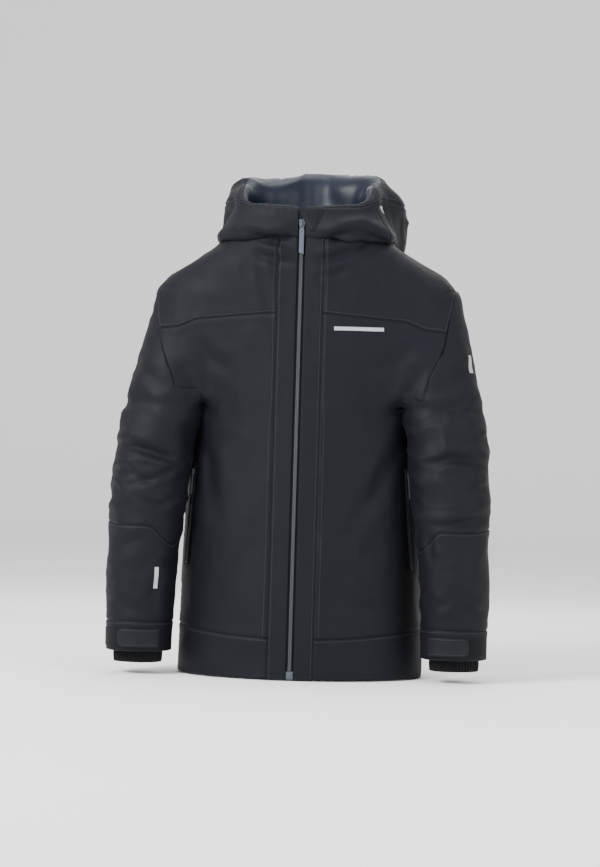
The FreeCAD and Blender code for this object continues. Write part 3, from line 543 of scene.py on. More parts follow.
@dataclass
class Cloth:
    """One piece of cloth, cut to its pattern, folded and sewn in."""

    name: str
    grid: np.ndarray
    outward: np.ndarray
    nodes: Sequence[str]
    finish: "Finish"
    slot: str = "shell"
    drape: Callable[[np.ndarray, np.ndarray], np.ndarray] | None = None
    seams: Sequence[Edge] = (Edge.LOW, Edge.HIGH, Edge.FIRST, Edge.LAST)
    stitched: Sequence[Edge] = ()
    held: str = "hung"
    rests_on: Sequence[str] = ()
    padded: float | None = None
    facing: np.ndarray | None = None

    def build(self, thread: Solids | None = None) -> bpy.types.Object:
        """Args:
            thread: where its stitches are gathered.

        Returns:
            The piece.
        """
        normal = normals_of(self.grid, self.outward) if self.facing is None else self.facing
        push = self.drape(self.grid, normal) if self.drape else np.zeros(self.grid.shape[:2])
        for edge in self.seams:
            away = edge.distance(self.grid)
            along = Edge((1 - edge.value[0], False)).distance(self.grid)
            pucker = PUCKER * np.sin(2 * np.pi * along / PUCKER_PITCH + 3 * GRAIN.at(self.grid, (0.03,) * 3))
            push = push - SEAM_SINK * np.exp(-(away / SEAM_REACH) ** 2)
            push = push + (PUFF + pucker) * np.exp(-((away - PUFF_AT) / PUFF_REACH) ** 2)
        shaped = self.grid + normal * push[..., None]
        rows, columns = shaped.shape[:2]
        piece = mesh_object(self.name, shaped, grid_faces(rows, columns))
        self.finish.dress(piece)
        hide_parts(*self.nodes)
        if thread is not None:
            normal = normals_of(shaped, self.outward)
            for edge in self.stitched:
                stitch(thread, edge.line(shaped, STITCH_ROW), edge.line(normal, STITCH_ROW))
        if self.padded is not None:
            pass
        else:
            self.declare()
        return piece

    def declare(self) -> None:
        """Work out the sheet's flat size, measured on its pattern before it was folded; the sizes are kept
        nowhere.
        """
        width = max(Edge.FIRST.distance(self.grid)[:, -1].max(), 0.011)
        length = max(Edge.LOW.distance(self.grid)[-1].max(), 0.011)


# ---------------------------------------------------------------- finishes
def linear(colour: str) -> tuple[float, float, float, float]:
    """An sRGB hex value as linear red, green, blue and alpha."""
    parts = [int(colour[i:i + 2], 16) / 255 for i in (1, 3, 5)]
    return (*(c / 12.92 if c <= 0.04045 else ((c + 0.055) / 1.055) ** 2.4 for c in parts), 1.0)


def add(tree: bpy.types.NodeTree, kind: str, inputs: dict | None = None,
        **settings: object) -> bpy.types.Node:
    """Add a node with its settings, and set or link its inputs.

    Args:
        tree: the material's node tree.
        kind: the node's type.
        inputs: for each socket's name or number, a value or the socket that feeds it.
        settings: the node's own properties.

    Returns:
        The node.
    """
    made = tree.nodes.new(kind)
    for name, setting in settings.items():
        setattr(made, name, setting)
    for socket, given in (inputs or {}).items():
        if isinstance(given, bpy.types.NodeSocket):
            tree.links.new(given, made.inputs[socket])
        else:
            made.inputs[socket].default_value = given
    return made


WAVE_UNIT = 2 * math.pi / 20                # a wave texture repeats this often at scale 1


@dataclass(frozen=True)
class Finish:
    """A material: what the real one is, and how its surface was made."""

    name: str
    dark: str
    light: str
    roughness: float
    metallic: float = 0.0
    weave: float = 0.0                      # thread spacing in millimetres
    weave_depth: float = 0.1
    twill: bool = True
    grain: float = 30.0                     # size of the slow change of colour, in millimetres
    grit: float = 0.5                       # size of the fine roughness, in millimetres
    grit_depth: float = 0.05
    sheen: float = 0.0
    specular: float = 0.5

    def material(self) -> bpy.types.Material:
        """The Blender material, made once."""
        made = bpy.data.materials.get(self.name)
        if made:
            return made
        made = bpy.data.materials.new(self.name)
        made.use_nodes = True
        tree = made.node_tree
        shader = tree.nodes["Principled BSDF"]
        place = add(tree, "ShaderNodeTexCoord").outputs["Object"]
        slow = add(tree, "ShaderNodeTexNoise", {
            "Vector": place, "Scale": 1 / (self.grain * MM), "Detail": 4.0, "Roughness": 0.6})
        fine = add(tree, "ShaderNodeTexNoise", {
            "Vector": place, "Scale": 1 / (self.grit * MM), "Detail": 2.0})
        colour = add(tree, "ShaderNodeMix", {
            0: slow.outputs["Fac"], 6: linear(self.dark), 7: linear(self.light)}, data_type="RGBA")
        rough = add(tree, "ShaderNodeMapRange", {
            "Value": slow.outputs["Fac"], "From Min": 0.3, "From Max": 0.7,
            "To Min": self.roughness - 0.06, "To Max": self.roughness + 0.06})
        bump = add(tree, "ShaderNodeBump", {
            "Height": fine.outputs["Fac"], "Strength": self.grit_depth, "Distance": 0.3 * MM})
        tint = colour.outputs[2]
        if self.weave:
            scale = WAVE_UNIT / (self.weave * MM)
            ways = ("DIAGONAL", "Z") if self.twill else ("X", "Z")
            waves = [add(tree, "ShaderNodeTexWave", {
                "Vector": place, "Scale": scale, "Distortion": 0.4, "Detail": 1.0, "Detail Scale": 2.0},
                bands_direction=way).outputs["Fac"] for way in ways]
            cross = add(tree, "ShaderNodeMath", {0: waves[0], 1: waves[1]}, operation="MULTIPLY").outputs[0]
            bump = add(tree, "ShaderNodeBump", {
                "Height": cross, "Strength": self.weave_depth, "Distance": 0.25 * MM,
                "Normal": bump.outputs["Normal"]})
            shade = add(tree, "ShaderNodeMapRange", {"Value": cross, "To Min": 0.9, "To Max": 1.08})
            mixed = add(tree, "ShaderNodeMix", {0: 1.0, 6: tint, 7: shade.outputs[0]},
                        data_type="RGBA", blend_type="MULTIPLY")
            tint = mixed.outputs[2]
        tree.links.new(tint, shader.inputs["Base Color"])
        tree.links.new(rough.outputs[0], shader.inputs["Roughness"])
        tree.links.new(bump.outputs["Normal"], shader.inputs["Normal"])
        for socket, value in (("Metallic", self.metallic), ("Specular IOR Level", self.specular),
                              ("Sheen Weight", self.sheen), ("Sheen Roughness", 0.5)):
            shader.inputs[socket].default_value = value
        return made

    def dress(self, piece: bpy.types.Object) -> bpy.types.Object:
        """Put the material on a piece."""
        piece.data.materials.clear()
        piece.data.materials.append(self.material())
        return piece


def fit(piece: bpy.types.Object, finish: Finish, slot: str, *nodes: str) -> None:
    """Dress a piece, and hide the nodes that it stands for."""
    finish.dress(piece)
    if nodes:
        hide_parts(*nodes)


# Polyester twill with a water-repellent face: a dense diagonal that dulls to a soft satin. The
# threads are 0.3 mm apart, which is too fine to show, so they are drawn at 1.4 mm.
SHELL = Finish("woven_polyester_twill", "#080a10", "#0d0f17", 0.62, weave=1.4, weave_depth=0.2, grain=70,
               grit=6.0, grit_depth=0.5, sheen=0.008, specular=0.14)
# The strap is the same cloth, pressed over a moulded core, so it is smoother.
STRAP = Finish("bonded_twill_strap", "#0a0c12", "#0f1118", 0.56, weave=1.4, weave_depth=0.12, grain=40,
               sheen=0.008, specular=0.17)
# Satin polyester lining: long floats that throw a bright streak along each fold.
LINING = Finish("satin_polyester_lining", "#0a0f1a", "#121a2b", 0.42, weave=0.8, weave_depth=0.05, grain=60,
                specular=0.2)
# Extruded nylon filament, coiled: hard and slightly glossy.
COIL = Finish("extruded_nylon_coil", "#2a2e34", "#353a41", 0.36, grain=8, grit=0.4)
# Woven polyester tape: a plain weave drawn at 1 mm.
TAPE = Finish("woven_polyester_tape", "#08090b", "#0c0d10", 0.75, specular=0.12, weave=1.0, weave_depth=0.25,
              twill=False, grain=14)
# Die-cast zinc, painted dark and worn bright on its edges.
DIE_CAST = Finish("painted_die_cast_zinc", "#4a4e57", "#62676f", 0.34, metallic=0.85, grain=4, grit=0.3)
# Moulded thermoplastic rubber pull: even, with a faint spark-eroded grain.
MOULDED = Finish("moulded_rubber_pull", "#363a46", "#424754", 0.5, grain=9, grit=0.35, grit_depth=0.15)
# Knitted rib of polyester and elastane: matt, with the ribs in its shape.
RIB = Finish("knitted_rib", "#08090b", "#0e0f12", 0.9, weave=0.9, weave_depth=0.4, twill=False, grain=10,
             sheen=0.04, specular=0.15)
# Brushed nylon loop pile: a dull felted face.
PILE = Finish("brushed_loop_pile", "#0a0b0e", "#111317", 0.95, grain=5, grit=0.9, grit_depth=0.8, sheen=0.05,
              specular=0.12)
# Coated taffeta: a thin plain weave with a crisp, slightly shiny face.
TAFFETA = Finish("coated_taffeta", "#0b0d13", "#10131b", 0.5, specular=0.2, weave=1.0, weave_depth=0.1,
                 twill=False, grain=40)
# Reflective transfer film: a flat pale grey that glows a little.
FILM = Finish("reflective_transfer_film", "#8f9499", "#a9adb1", 0.4, metallic=0.25, grain=6, grit=0.25)
# Pressed steel with a dark coating.
STEEL = Finish("pressed_coated_steel", "#3f434a", "#575c64", 0.3, metallic=0.9, grain=4, grit=0.3)
# Satin ribbon, folded and sewn flat.
RIBBON = Finish("woven_satin_ribbon", "#2a2e36", "#373c46", 0.5, weave=0.6, weave_depth=0.1, twill=False,
                grain=12)
# Spun polyester sewing thread, a shade lighter than the cloth.
THREAD = Finish("spun_polyester_thread", "#1b1e26", "#262a33", 0.6, grain=6, grit=0.3, grit_depth=0.2)


# ---------------------------------------------------------------- body
STARTS: dict[float, np.ndarray] = {}        # shares already found, by distance across


@dataclass
class Torso:
    """The fronts, the plackets, the yokes, the back and the hem of the body."""

    placket: float = 0.038
    slot: float = 0.006
    step: float = 0.0055

    def yoke_seam(self, across: np.ndarray) -> np.ndarray:
        """Height of the seam under the yoke."""
        size = np.abs(across)
        return 0.597 - 0.085 * (size - 0.035) - 0.010 * smooth(0.17, 0.21, size)

    def hem_seam(self, across: np.ndarray) -> np.ndarray:
        """Height of the seam above the hem band."""
        return 0.065 + 0.015 * (np.abs(across) / 0.2) ** 2

    def panel(self, columns: np.ndarray, low: Callable, high: Callable, rows: np.ndarray, side: float,
              inner: float | None, back: bool) -> np.ndarray:
        """Points of a panel between two seams.

        Args:
            columns: shares across the panel.
            low: height of its lower seam, by distance across.
            high: height of its upper seam, by distance across.
            rows: shares up the panel.
            side: +1 for the wearer's left, -1 for the right, 0 for a whole back.
            inner: distance across of its inner edge, if it doesn't start at the centre.
            back: whether it is at the back.

        Returns:
            Rows by columns by 3.
        """
        share = np.tile(columns, (len(rows), 1))
        across = np.abs(share) * 0.2
        for _ in range(4):
            bottom, top = low(across), high(across)
            height = bottom + (top - bottom) * rows[:, None]
            scaled = share
            if inner is not None:
                first = self.start(inner, height)
                scaled = first + (1 - first) * share
            across = np.abs(FORM.torso(scaled, height, back)[..., 0])
        point = FORM.torso(scaled, height, back)
        if side < 0:
            point[..., 0] *= -1
        return point

    def rows(self, low: Callable, high: Callable) -> np.ndarray:
        """Shares up a panel, spaced for its height at the centre."""
        run = float(high(np.zeros(1))[0] - low(np.zeros(1))[0])
        return stations(run * 1.1, self.step)

    def start(self, across: float, height: np.ndarray) -> np.ndarray:
        """The share at which a panel's inner edge lies, at each height."""
        levels = np.linspace(-0.01, 0.725, 90)
        key = round(across, 5)
        if key not in STARTS:
            STARTS[key] = FORM.share_at(across, levels)
        return np.interp(height, levels, STARTS[key])

    def outward(self, grid: np.ndarray) -> np.ndarray:
        """Directions away from the middle of the body."""
        middle = grid.copy()
        middle[..., 0], middle[..., 1] = 0, FORM.body(grid[..., 2])[2]
        return grid - middle

    def strip(self, side: float) -> np.ndarray:
        """The placket beside the zip, from hem to neck, with its inner edge rolled over."""
        rows = np.linspace(0.0, NECK, 150)
        turned = np.array([(0, 6.0), (0, 3.2), (0.15, 1.5), (0.7, 0.5), (1.6, 0.1)]) * MM
        flat = np.linspace(self.slot + 3 * MM, self.placket - 4 * MM, 7)
        sewn = self.placket - np.array([2.4, 1.2, 0.0]) * MM
        across = np.concatenate([self.slot + turned[:, 0], flat, sewn])
        sunk = np.concatenate([turned[:, 1], np.zeros_like(flat), np.zeros_like(sewn)])
        height = np.tile(rows[:, None], (1, len(across)))
        share = np.stack([self.start(float(a), rows) for a in across], axis=1)
        point = FORM.torso(share, height)
        point[..., 1] += sunk
        point[..., 0] *= side
        return point

    def build(self) -> None:
        """Make every piece of the body's shell."""
        thread = Solids()
        for name, side in SIDES.items():
            columns = stations(0.17, self.step)
            for part, low, high, stitched in (
                    ("front_panel", self.hem_seam, self.yoke_seam, [Edge.FIRST]),
                    ("front_yoke", self.yoke_seam, level(NECK), [Edge.LOW, Edge.FIRST, Edge.LAST])):
                grid = self.panel(columns, low, high, self.rows(low, high), side, self.placket, False)
                self.cloth(f"{part}_{name}", grid, [f"{part}_{name}"], stitched).build(thread)
            grid = self.hem(columns, side, self.placket, False)
            self.cloth(f"front_hem_{name}", grid, [f"front_hem_{name}"], [Edge.HIGH],
                       (Edge.HIGH, Edge.FIRST, Edge.LAST)).build(thread)
            self.cloth(f"placket_{name}", self.strip(side), [f"placket_{name}"], [Edge.LAST],
                       (Edge.LAST,)).build(thread)
        columns = np.concatenate([-stations(0.33, self.step)[::-1], stations(0.33, self.step)[1:]])
        columns = np.unique(np.round(columns, 6))
        for part, low, high, stitched in (("back_panel", self.hem_seam, self.yoke_seam, []),
                                          ("back_yoke", self.yoke_seam, level(NECK), [Edge.LOW])):
            grid = self.panel(columns, low, high, self.rows(low, high), 0, None, True)
            self.cloth(part, grid, [part], stitched).build(thread)
        self.cloth("back_hem", self.hem(columns, 0, None, True), ["back_hem"], [Edge.HIGH],
                   (Edge.HIGH, Edge.FIRST, Edge.LAST)).build(thread)
        fit(thread.build("body_stitching"), THREAD, "shell")
        LOG.info("body shell sewn")

    def hem(self, columns: np.ndarray, side: float, inner: float | None, back: bool) -> np.ndarray:
        """The hem band, turned up inside the body."""
        rows = stations(0.07, self.step)
        outer = self.panel(columns, level(0.002), self.hem_seam, rows, side, inner, back)
        normal = normals_of(outer, self.outward(outer))[0]
        turned = []
        for inset, rise in ((11.5, 26), (11.5, 14), (11.5, 4), (9.5, 1.0), (6, 0.2), (2.4, 0.3)):
            row = outer[0] - normal * inset * MM
            row[:, 2] = rise * MM
            turned.append(row)
        return np.concatenate([np.array(turned), outer])

    def cloth(self, name: str, grid: np.ndarray, nodes: list, stitched: list,
              seams: Sequence[Edge] = (Edge.LOW, Edge.HIGH, Edge.FIRST, Edge.LAST)) -> Cloth:
        """A piece of the body's shell."""
        return Cloth(f"{name}_shell", grid, self.outward(grid), nodes, SHELL, drape=torso_drape, seams=seams,
                     stitched=stitched, rests_on=["body_lining_front"])


@dataclass
class Inside:
    """The lining, the snow skirt, the pocket bags, the storm flap, the label and the loop."""

    inset: float = 0.0118
    lining: tuple[float, float] = (0.022, 0.715)        # heights of its lower and upper edge
    skirt: tuple[float, float] = (0.16, 0.29)
    bag: tuple[float, float] = (0.125, 0.352)
    flap_foot: float = 0.016
    flap_long: float = 0.73
    flap_wide: float = 0.036
    flap_behind: float = 0.0062                         # how far it lies behind the zip's face

    def wall(self, low: float, high: float, inset: float, back: bool, step: float = 0.01,
             wavy: float = 0.0012) -> np.ndarray:
        """A wall that runs inside the body at an even distance from the shell."""
        columns = np.linspace(-1, 1, 70)
        rows = np.linspace(low, high, max(4, round((high - low) / step)))
        share, height = np.meshgrid(columns, rows)
        grid = FORM.torso(share, height, back)
        normal = normals_of(grid, TORSO.outward(grid))
        push = inset - wavy * GRAIN.at(grid + 9, (0.05, 0.05, 0.09))
        return grid - normal * push[..., None]

    def build(self) -> None:
        """Make everything inside the body."""
        for part, back in (("front", False), ("back", True)):
            grid = self.wall(*self.lining, self.inset, back)
            nodes = ["body_lining", "body_wadding"] if back else []
            Cloth(f"body_lining_{part}", grid, -TORSO.outward(grid), nodes, LINING, "lining", seams=(),
                  padded=0.3).build()
            grid = self.wall(*self.skirt, self.inset + 0.0022, back, 0.006, 0.0018)
            nodes = ["snow_skirt"] if back else []
            Cloth(f"snow_skirt_{part}", grid, -TORSO.outward(grid), nodes, TAFFETA, "skirt",
                  seams=(Edge.LOW, Edge.HIGH), rests_on=["body_lining_front", "body_lining_back"]).build()
        for name, side in SIDES.items():
            share, height = np.meshgrid(np.linspace(0.42, 0.97, 24), np.linspace(*self.bag, 40))
            grid = FORM.torso(share, height)
            grid = grid - normals_of(grid, TORSO.outward(grid)) * 0.005
            grid[..., 0] *= side
            Cloth(f"pocket_bag_{name}_taffeta", grid, TORSO.outward(grid), [f"pocket_bag_{name}"], TAFFETA,
                  "wadding", rests_on=["body_lining_front"]).build()
        along, across = np.meshgrid(stations(self.flap_long, 0.008), stations(0.038, 0.006), indexing="ij")
        grid = ZIP_ORIGIN + (self.flap_foot + self.flap_long * along)[..., None] * ZIP_AXES[2]
        grid[..., 0] = (across - 0.5) * self.flap_wide
        grid[..., 1] += self.flap_behind
        Cloth("storm_flap_shell", grid, np.tile((0.0, 1.0, 0.0), (*grid.shape[:2], 1)), ["storm_flap"], SHELL,
              rests_on=["zip_tape_left", "zip_tape_right"]).build()
        self.label()
        self.studs()
        self.loop()
        LOG.info("lining and inner pieces made")

    def label(self) -> None:
        """A plain folded ribbon label sewn at the back of the neck."""
        share, height = np.meshgrid(np.linspace(-0.17, 0.17, 15), stations(0.028, 0.003) * 0.028 + 0.64)
        grid = FORM.torso(share, height, True)
        grid = grid - normals_of(grid, TORSO.outward(grid)) * (self.inset + 0.0016)
        thread = Solids()
        Cloth("neck_label_ribbon", grid, -TORSO.outward(grid), ["neck_label"], RIBBON, "label",
              stitched=(Edge.LOW, Edge.HIGH), rests_on=["body_lining_back"]).build(thread)
        fit(thread.build("label_stitching"), THREAD, "label")

    def studs(self) -> None:
        """Two domed studs on the snow skirt, each a turned profile."""
        low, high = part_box("skirt_studs")
        radius = (high.x - low.x) / 2
        profile = [(0, 1.0), (0.35, 0.97), (0.62, 0.8), (0.72, 0.55), (0.78, 0.5), (0.98, 0.42), (1, 0.2),
                   (0.96, 0)]
        studs = Solids()
        for height in (low.z + radius, high.z - radius):
            turn = np.linspace(0, 2 * np.pi, 28, endpoint=False)
            points = [(radius * r * math.cos(a), low.y + 0.0025 * h + 0.0004,
                       height + radius * r * math.sin(a)) for r, h in profile for a in turn]
            studs.put(np.array(points), grid_faces(len(profile), 28, True))
        fit(studs.build("skirt_studs_pressed"), STEEL, "stud_metal", "skirt_studs")

    def loop(self) -> None:
        """A hanger loop of rolled cloth, sewn in at both ends."""
        low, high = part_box("hanger_loop")
        radius = (high.y - low.y) / 2
        reach = (high.x - low.x) / 2 - radius
        loop = Solids()
        turn = np.linspace(0, np.pi, 40)
        around = np.linspace(0, 2 * np.pi, 12, endpoint=False)
        back = np.array([0, 1, 0])
        points = []
        for t in turn:
            out = np.array([math.cos(t), 0, -math.sin(t)])
            centre = np.array([0, (low.y + high.y) / 2, high.z]) + out * reach
            for a in around:
                twist = 1 + 0.1 * math.sin(6 * t + a)
                points.append(centre + radius * twist * (math.cos(a) * out + math.sin(a) * back))
        first, last = list(range(12)), list(range((len(turn) - 1) * 12, len(turn) * 12))
        loop.put(np.array(points), [*grid_faces(len(turn), 12, True), first, last[::-1]])
        fit(loop.build("hanger_loop_rolled"), RIBBON, "loop_cord", "hanger_loop")


TORSO = Torso()


# ---------------------------------------------------------------- sleeves
@dataclass
class Sleeve:
    """One sleeve: upper part, forearm, cuff band with its strap, gaiter and lining."""

    name: str
    side: float
    cuff_bottom: float = 0.037
    cuff_seam: float = 0.086
    step: float = 0.0055
    lining_low: float = 0.082
    lining_inset: float = 0.0085
    gaiter_low: float = 0.018
    gaiter_high: float = 0.078
    gaiter_radius: float = 0.039
    ribs: int = 46

    def forearm_seam(self, angle: np.ndarray) -> np.ndarray:
        """Height of the seam above the forearm: high outside and behind, low inside the front."""
        inside = smooth(0.2, 1.0, -np.cos(angle)) * smooth(-0.6, 0.5, np.sin(angle))
        return 0.250 - 0.037 * inside - 0.006 * smooth(0, 1, np.sin(angle))

    def outward(self, grid: np.ndarray) -> np.ndarray:
        """Directions away from the sleeve's middle."""
        across, back, _ = FORM.sleeve(grid[..., 2])
        middle = np.stack([across * self.side, back, grid[..., 2]], axis=-1)
        return grid - middle

    def wrap(self, low: Callable, high: Callable, run: float) -> np.ndarray:
        """Points all round the sleeve between two seams, starting inside the arm."""
        angle = np.linspace(-np.pi, np.pi, 86)
        rows = stations(run, self.step)
        bottom, top = low(angle), high(angle)
        height = bottom + (top - bottom) * rows[:, None]
        return FORM.tube(np.tile(angle, (len(rows), 1)), height, self.side)

    def build(self) -> None:
        """Make the sleeve."""
        thread = Solids()
        drape = sleeve_drape(self.name)
        foot, cuff = level(self.cuff_bottom), level(self.cuff_seam)
        lining = [f"sleeve_lining_{self.name}_satin"]
        for part, low, high, run in (("upper_sleeve", self.forearm_seam, FORM.sleeve_top, 0.36),
                                     ("forearm", cuff, self.forearm_seam, 0.164),
                                     ("cuff_band", foot, cuff, 0.05)):
            grid = self.wrap(low, high, run)
            seams, stitched = [Edge.LOW, Edge.HIGH], [Edge.HIGH]
            if part == "upper_sleeve":
                grid, seams, stitched = self.tuck_under(grid), [Edge.LOW], []
            if part == "cuff_band":
                grid, seams = self.turn_in(grid), [Edge.HIGH]
            Cloth(f"{part}_{self.name}_shell", grid, self.outward(grid), [f"{part}_{self.name}"], SHELL,
                  drape=drape, seams=seams, stitched=stitched, rests_on=lining).build(thread)
        angle = np.linspace(-np.pi, np.pi, 60)
        rows = np.linspace(0, 1, 50)
        top = FORM.sleeve_top(angle) - 0.01
        height = self.lining_low + (top - self.lining_low) * rows[:, None]
        grid = FORM.tube(np.tile(angle, (len(rows), 1)), height, self.side)
        grid = grid - normals_of(grid, self.outward(grid)) * self.lining_inset
        nodes = [f"sleeve_lining_{self.name}", f"sleeve_wadding_{self.name}"]
        Cloth(lining[0], grid, -self.outward(grid), nodes, LINING, "lining", seams=(), padded=0.3).build()
        fit(thread.build(f"sleeve_stitching_{self.name}"), THREAD, "shell")
        self.gaiter()
        self.strap()
        LOG.info("%s sleeve sewn", self.name)

    def tuck_under(self, grid: np.ndarray) -> np.ndarray:
        """Carry the top of the sleeve on under the body's edge, as its seam allowance."""
        normal = normals_of(grid, self.outward(grid))
        last = grid[-1] - normal[-1] * 1.3 * MM
        angle = np.linspace(-np.pi, np.pi, grid.shape[1])
        rows = []
        for rise, inset in ((3, 2.4), (7, 3.4)):
            above = rise * MM * smooth(0.52, 0.60, grid[-1, :, 2])
            row = FORM.tube(angle, grid[-1, :, 2] + above, self.side) - normal[-1] * inset * MM
            rows.append(row)
        return np.concatenate([grid[:-1], [last], rows])

    def turn_in(self, grid: np.ndarray) -> np.ndarray:
        """Turn the lower edge of the cuff up inside the sleeve."""
        normal = normals_of(grid, self.outward(grid))[0]
        rows = []
        for inset, rise in ((8.6, 40), (8.6, 12), (8.2, 3), (6, 0.4), (3, -0.2), (1, 0.4)):
            row = grid[0] - normal * inset * MM
            row[:, 2] = self.cuff_bottom + rise * MM
            rows.append(row)
        grid = grid.copy()
        grid[0, :, 2] += 0.0012
        return np.concatenate([np.array(rows), grid])

    def gaiter(self) -> None:
        """The ribbed stretch gaiter inside the cuff, gathered towards its foot."""
        angle = np.linspace(0, 2 * np.pi, self.ribs * 6 + 1)
        rows = np.linspace(0, 1, 30)
        turned = np.array([(-2.4, 4.0), (-2.2, 1.2), (-1.2, 0.1)]) * MM
        rise = (self.gaiter_high - self.gaiter_low) * rows
        flare = 0.0025 * rows + 0.0008 * np.sin(9 * rows) * (1 - rows)
        height = self.gaiter_low + np.concatenate([turned[:, 1], rise])
        radius = self.gaiter_radius + np.concatenate([turned[:, 0], flare])
        across, back, _ = FORM.sleeve(np.array([self.gaiter_low]))
        rib = 0.0007 * np.cos(angle * self.ribs)
        shift = 0.0012 * np.sin(angle * 3 + self.side) * (1 - smooth(0.03, 0.07, height))[:, None]
        out = radius[:, None] + rib + shift
        grid = np.stack([self.side * across[0] + out * np.cos(angle), back[0] - out * np.sin(angle),
                         np.tile(height[:, None], (1, len(angle)))], axis=-1)
        Cloth(f"wrist_gaiter_{self.name}_knit", grid, self.outward(grid), [f"wrist_gaiter_{self.name}"], RIB,
              "gaiter", seams=(), held="stretched", rests_on=[f"cuff_band_{self.name}_shell"]).build()

    def patch_grid(self, inner: float, outer: float, low: float, high: float, stand: float, rounded: float,
                   thick: float) -> np.ndarray:
        """A closed slim piece on the front of the cuff, with one rounded end.

        Args:
            inner: distance across of the end by the body.
            outer: distance across of the other end.
            low: height of its lower edge.
            high: height of its upper edge.
            stand: how far its back stands off the cuff.
            rounded: share of its length over which the end narrows.
            thick: its thickness.

        Returns:
            A grid that wraps round the piece: rows run round it, columns along it.
        """
        across, back, radius = (float(v[0]) for v in FORM.sleeve(np.array([0.06])))
        reach = np.clip((np.array([inner, outer]) - across) / (radius + stand), -0.995, 0.995)
        first, last = np.arccos(reach)
        share = np.linspace(0, 1, 44)
        angle = first + (last - first) * share
        half = (high - low) / 2
        past = ((share - 1 + rounded) / rounded).clip(0, 1)
        narrow = 1 - 0.45 * (1 - np.sqrt(np.clip(1 - past ** 2, 0, 1)))
        loop = [(-1, 0.0), (-1, 0.7), (-0.96, 1.0), (-0.8, 1.05), (-0.72, 0.9), (0, 0.98), (0.72, 0.9),
                (0.8, 1.05), (0.96, 1.0), (1, 0.7), (1, 0.0), (0, 0.0), (-1, 0.0)]
        rows = []
        for up, out in loop:
            distance = radius + stand + thick * out * smooth(0, 0.02, 1 - share + 0.01)
            outwards = self.side * (across + distance * np.cos(angle))
            height = (low + high) / 2 + half * up * narrow
            rows.append(np.stack([outwards, back - distance * np.sin(angle), height], axis=-1))
        return np.array(rows)

    def strap(self) -> None:
        """The cuff's strap with its stitched border, and the looped patch that it closes on."""
        low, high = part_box(f"cuff_tab_{self.name}")
        near, far = sorted((abs(low.x), abs(high.x)))
        tab = self.patch_grid(near, far, low.z, high.z, 0.0016, 0.16, 0.0019)
        body = f"cuff_tab_{self.name}"
        fit(mesh_object(f"cuff_strap_{self.name}", tab, grid_faces(*tab.shape[:2]), body), STRAP, "tab", body)
        thread = Solids()
        outward = self.outward(tab)
        outward /= np.linalg.norm(outward, axis=-1, keepdims=True)
        for row in (3, 7):
            stitch(thread, tab[row, 1:-4], outward[row, 1:-4])
        fit(thread.build(f"cuff_strap_stitching_{self.name}", body), THREAD, "tab")
        low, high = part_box(f"loop_patch_{self.name}")
        near, far = sorted((abs(low.x), abs(high.x)))
        patch = self.patch_grid(near, min(far, 0.3148), low.z, high.z, 0.0003, 0.08, 0.0011)
        piece = mesh_object(f"loop_patch_{self.name}_pile", patch, grid_faces(*patch.shape[:2]))
        fit(piece, PILE, "loop_pile", f"loop_patch_{self.name}")


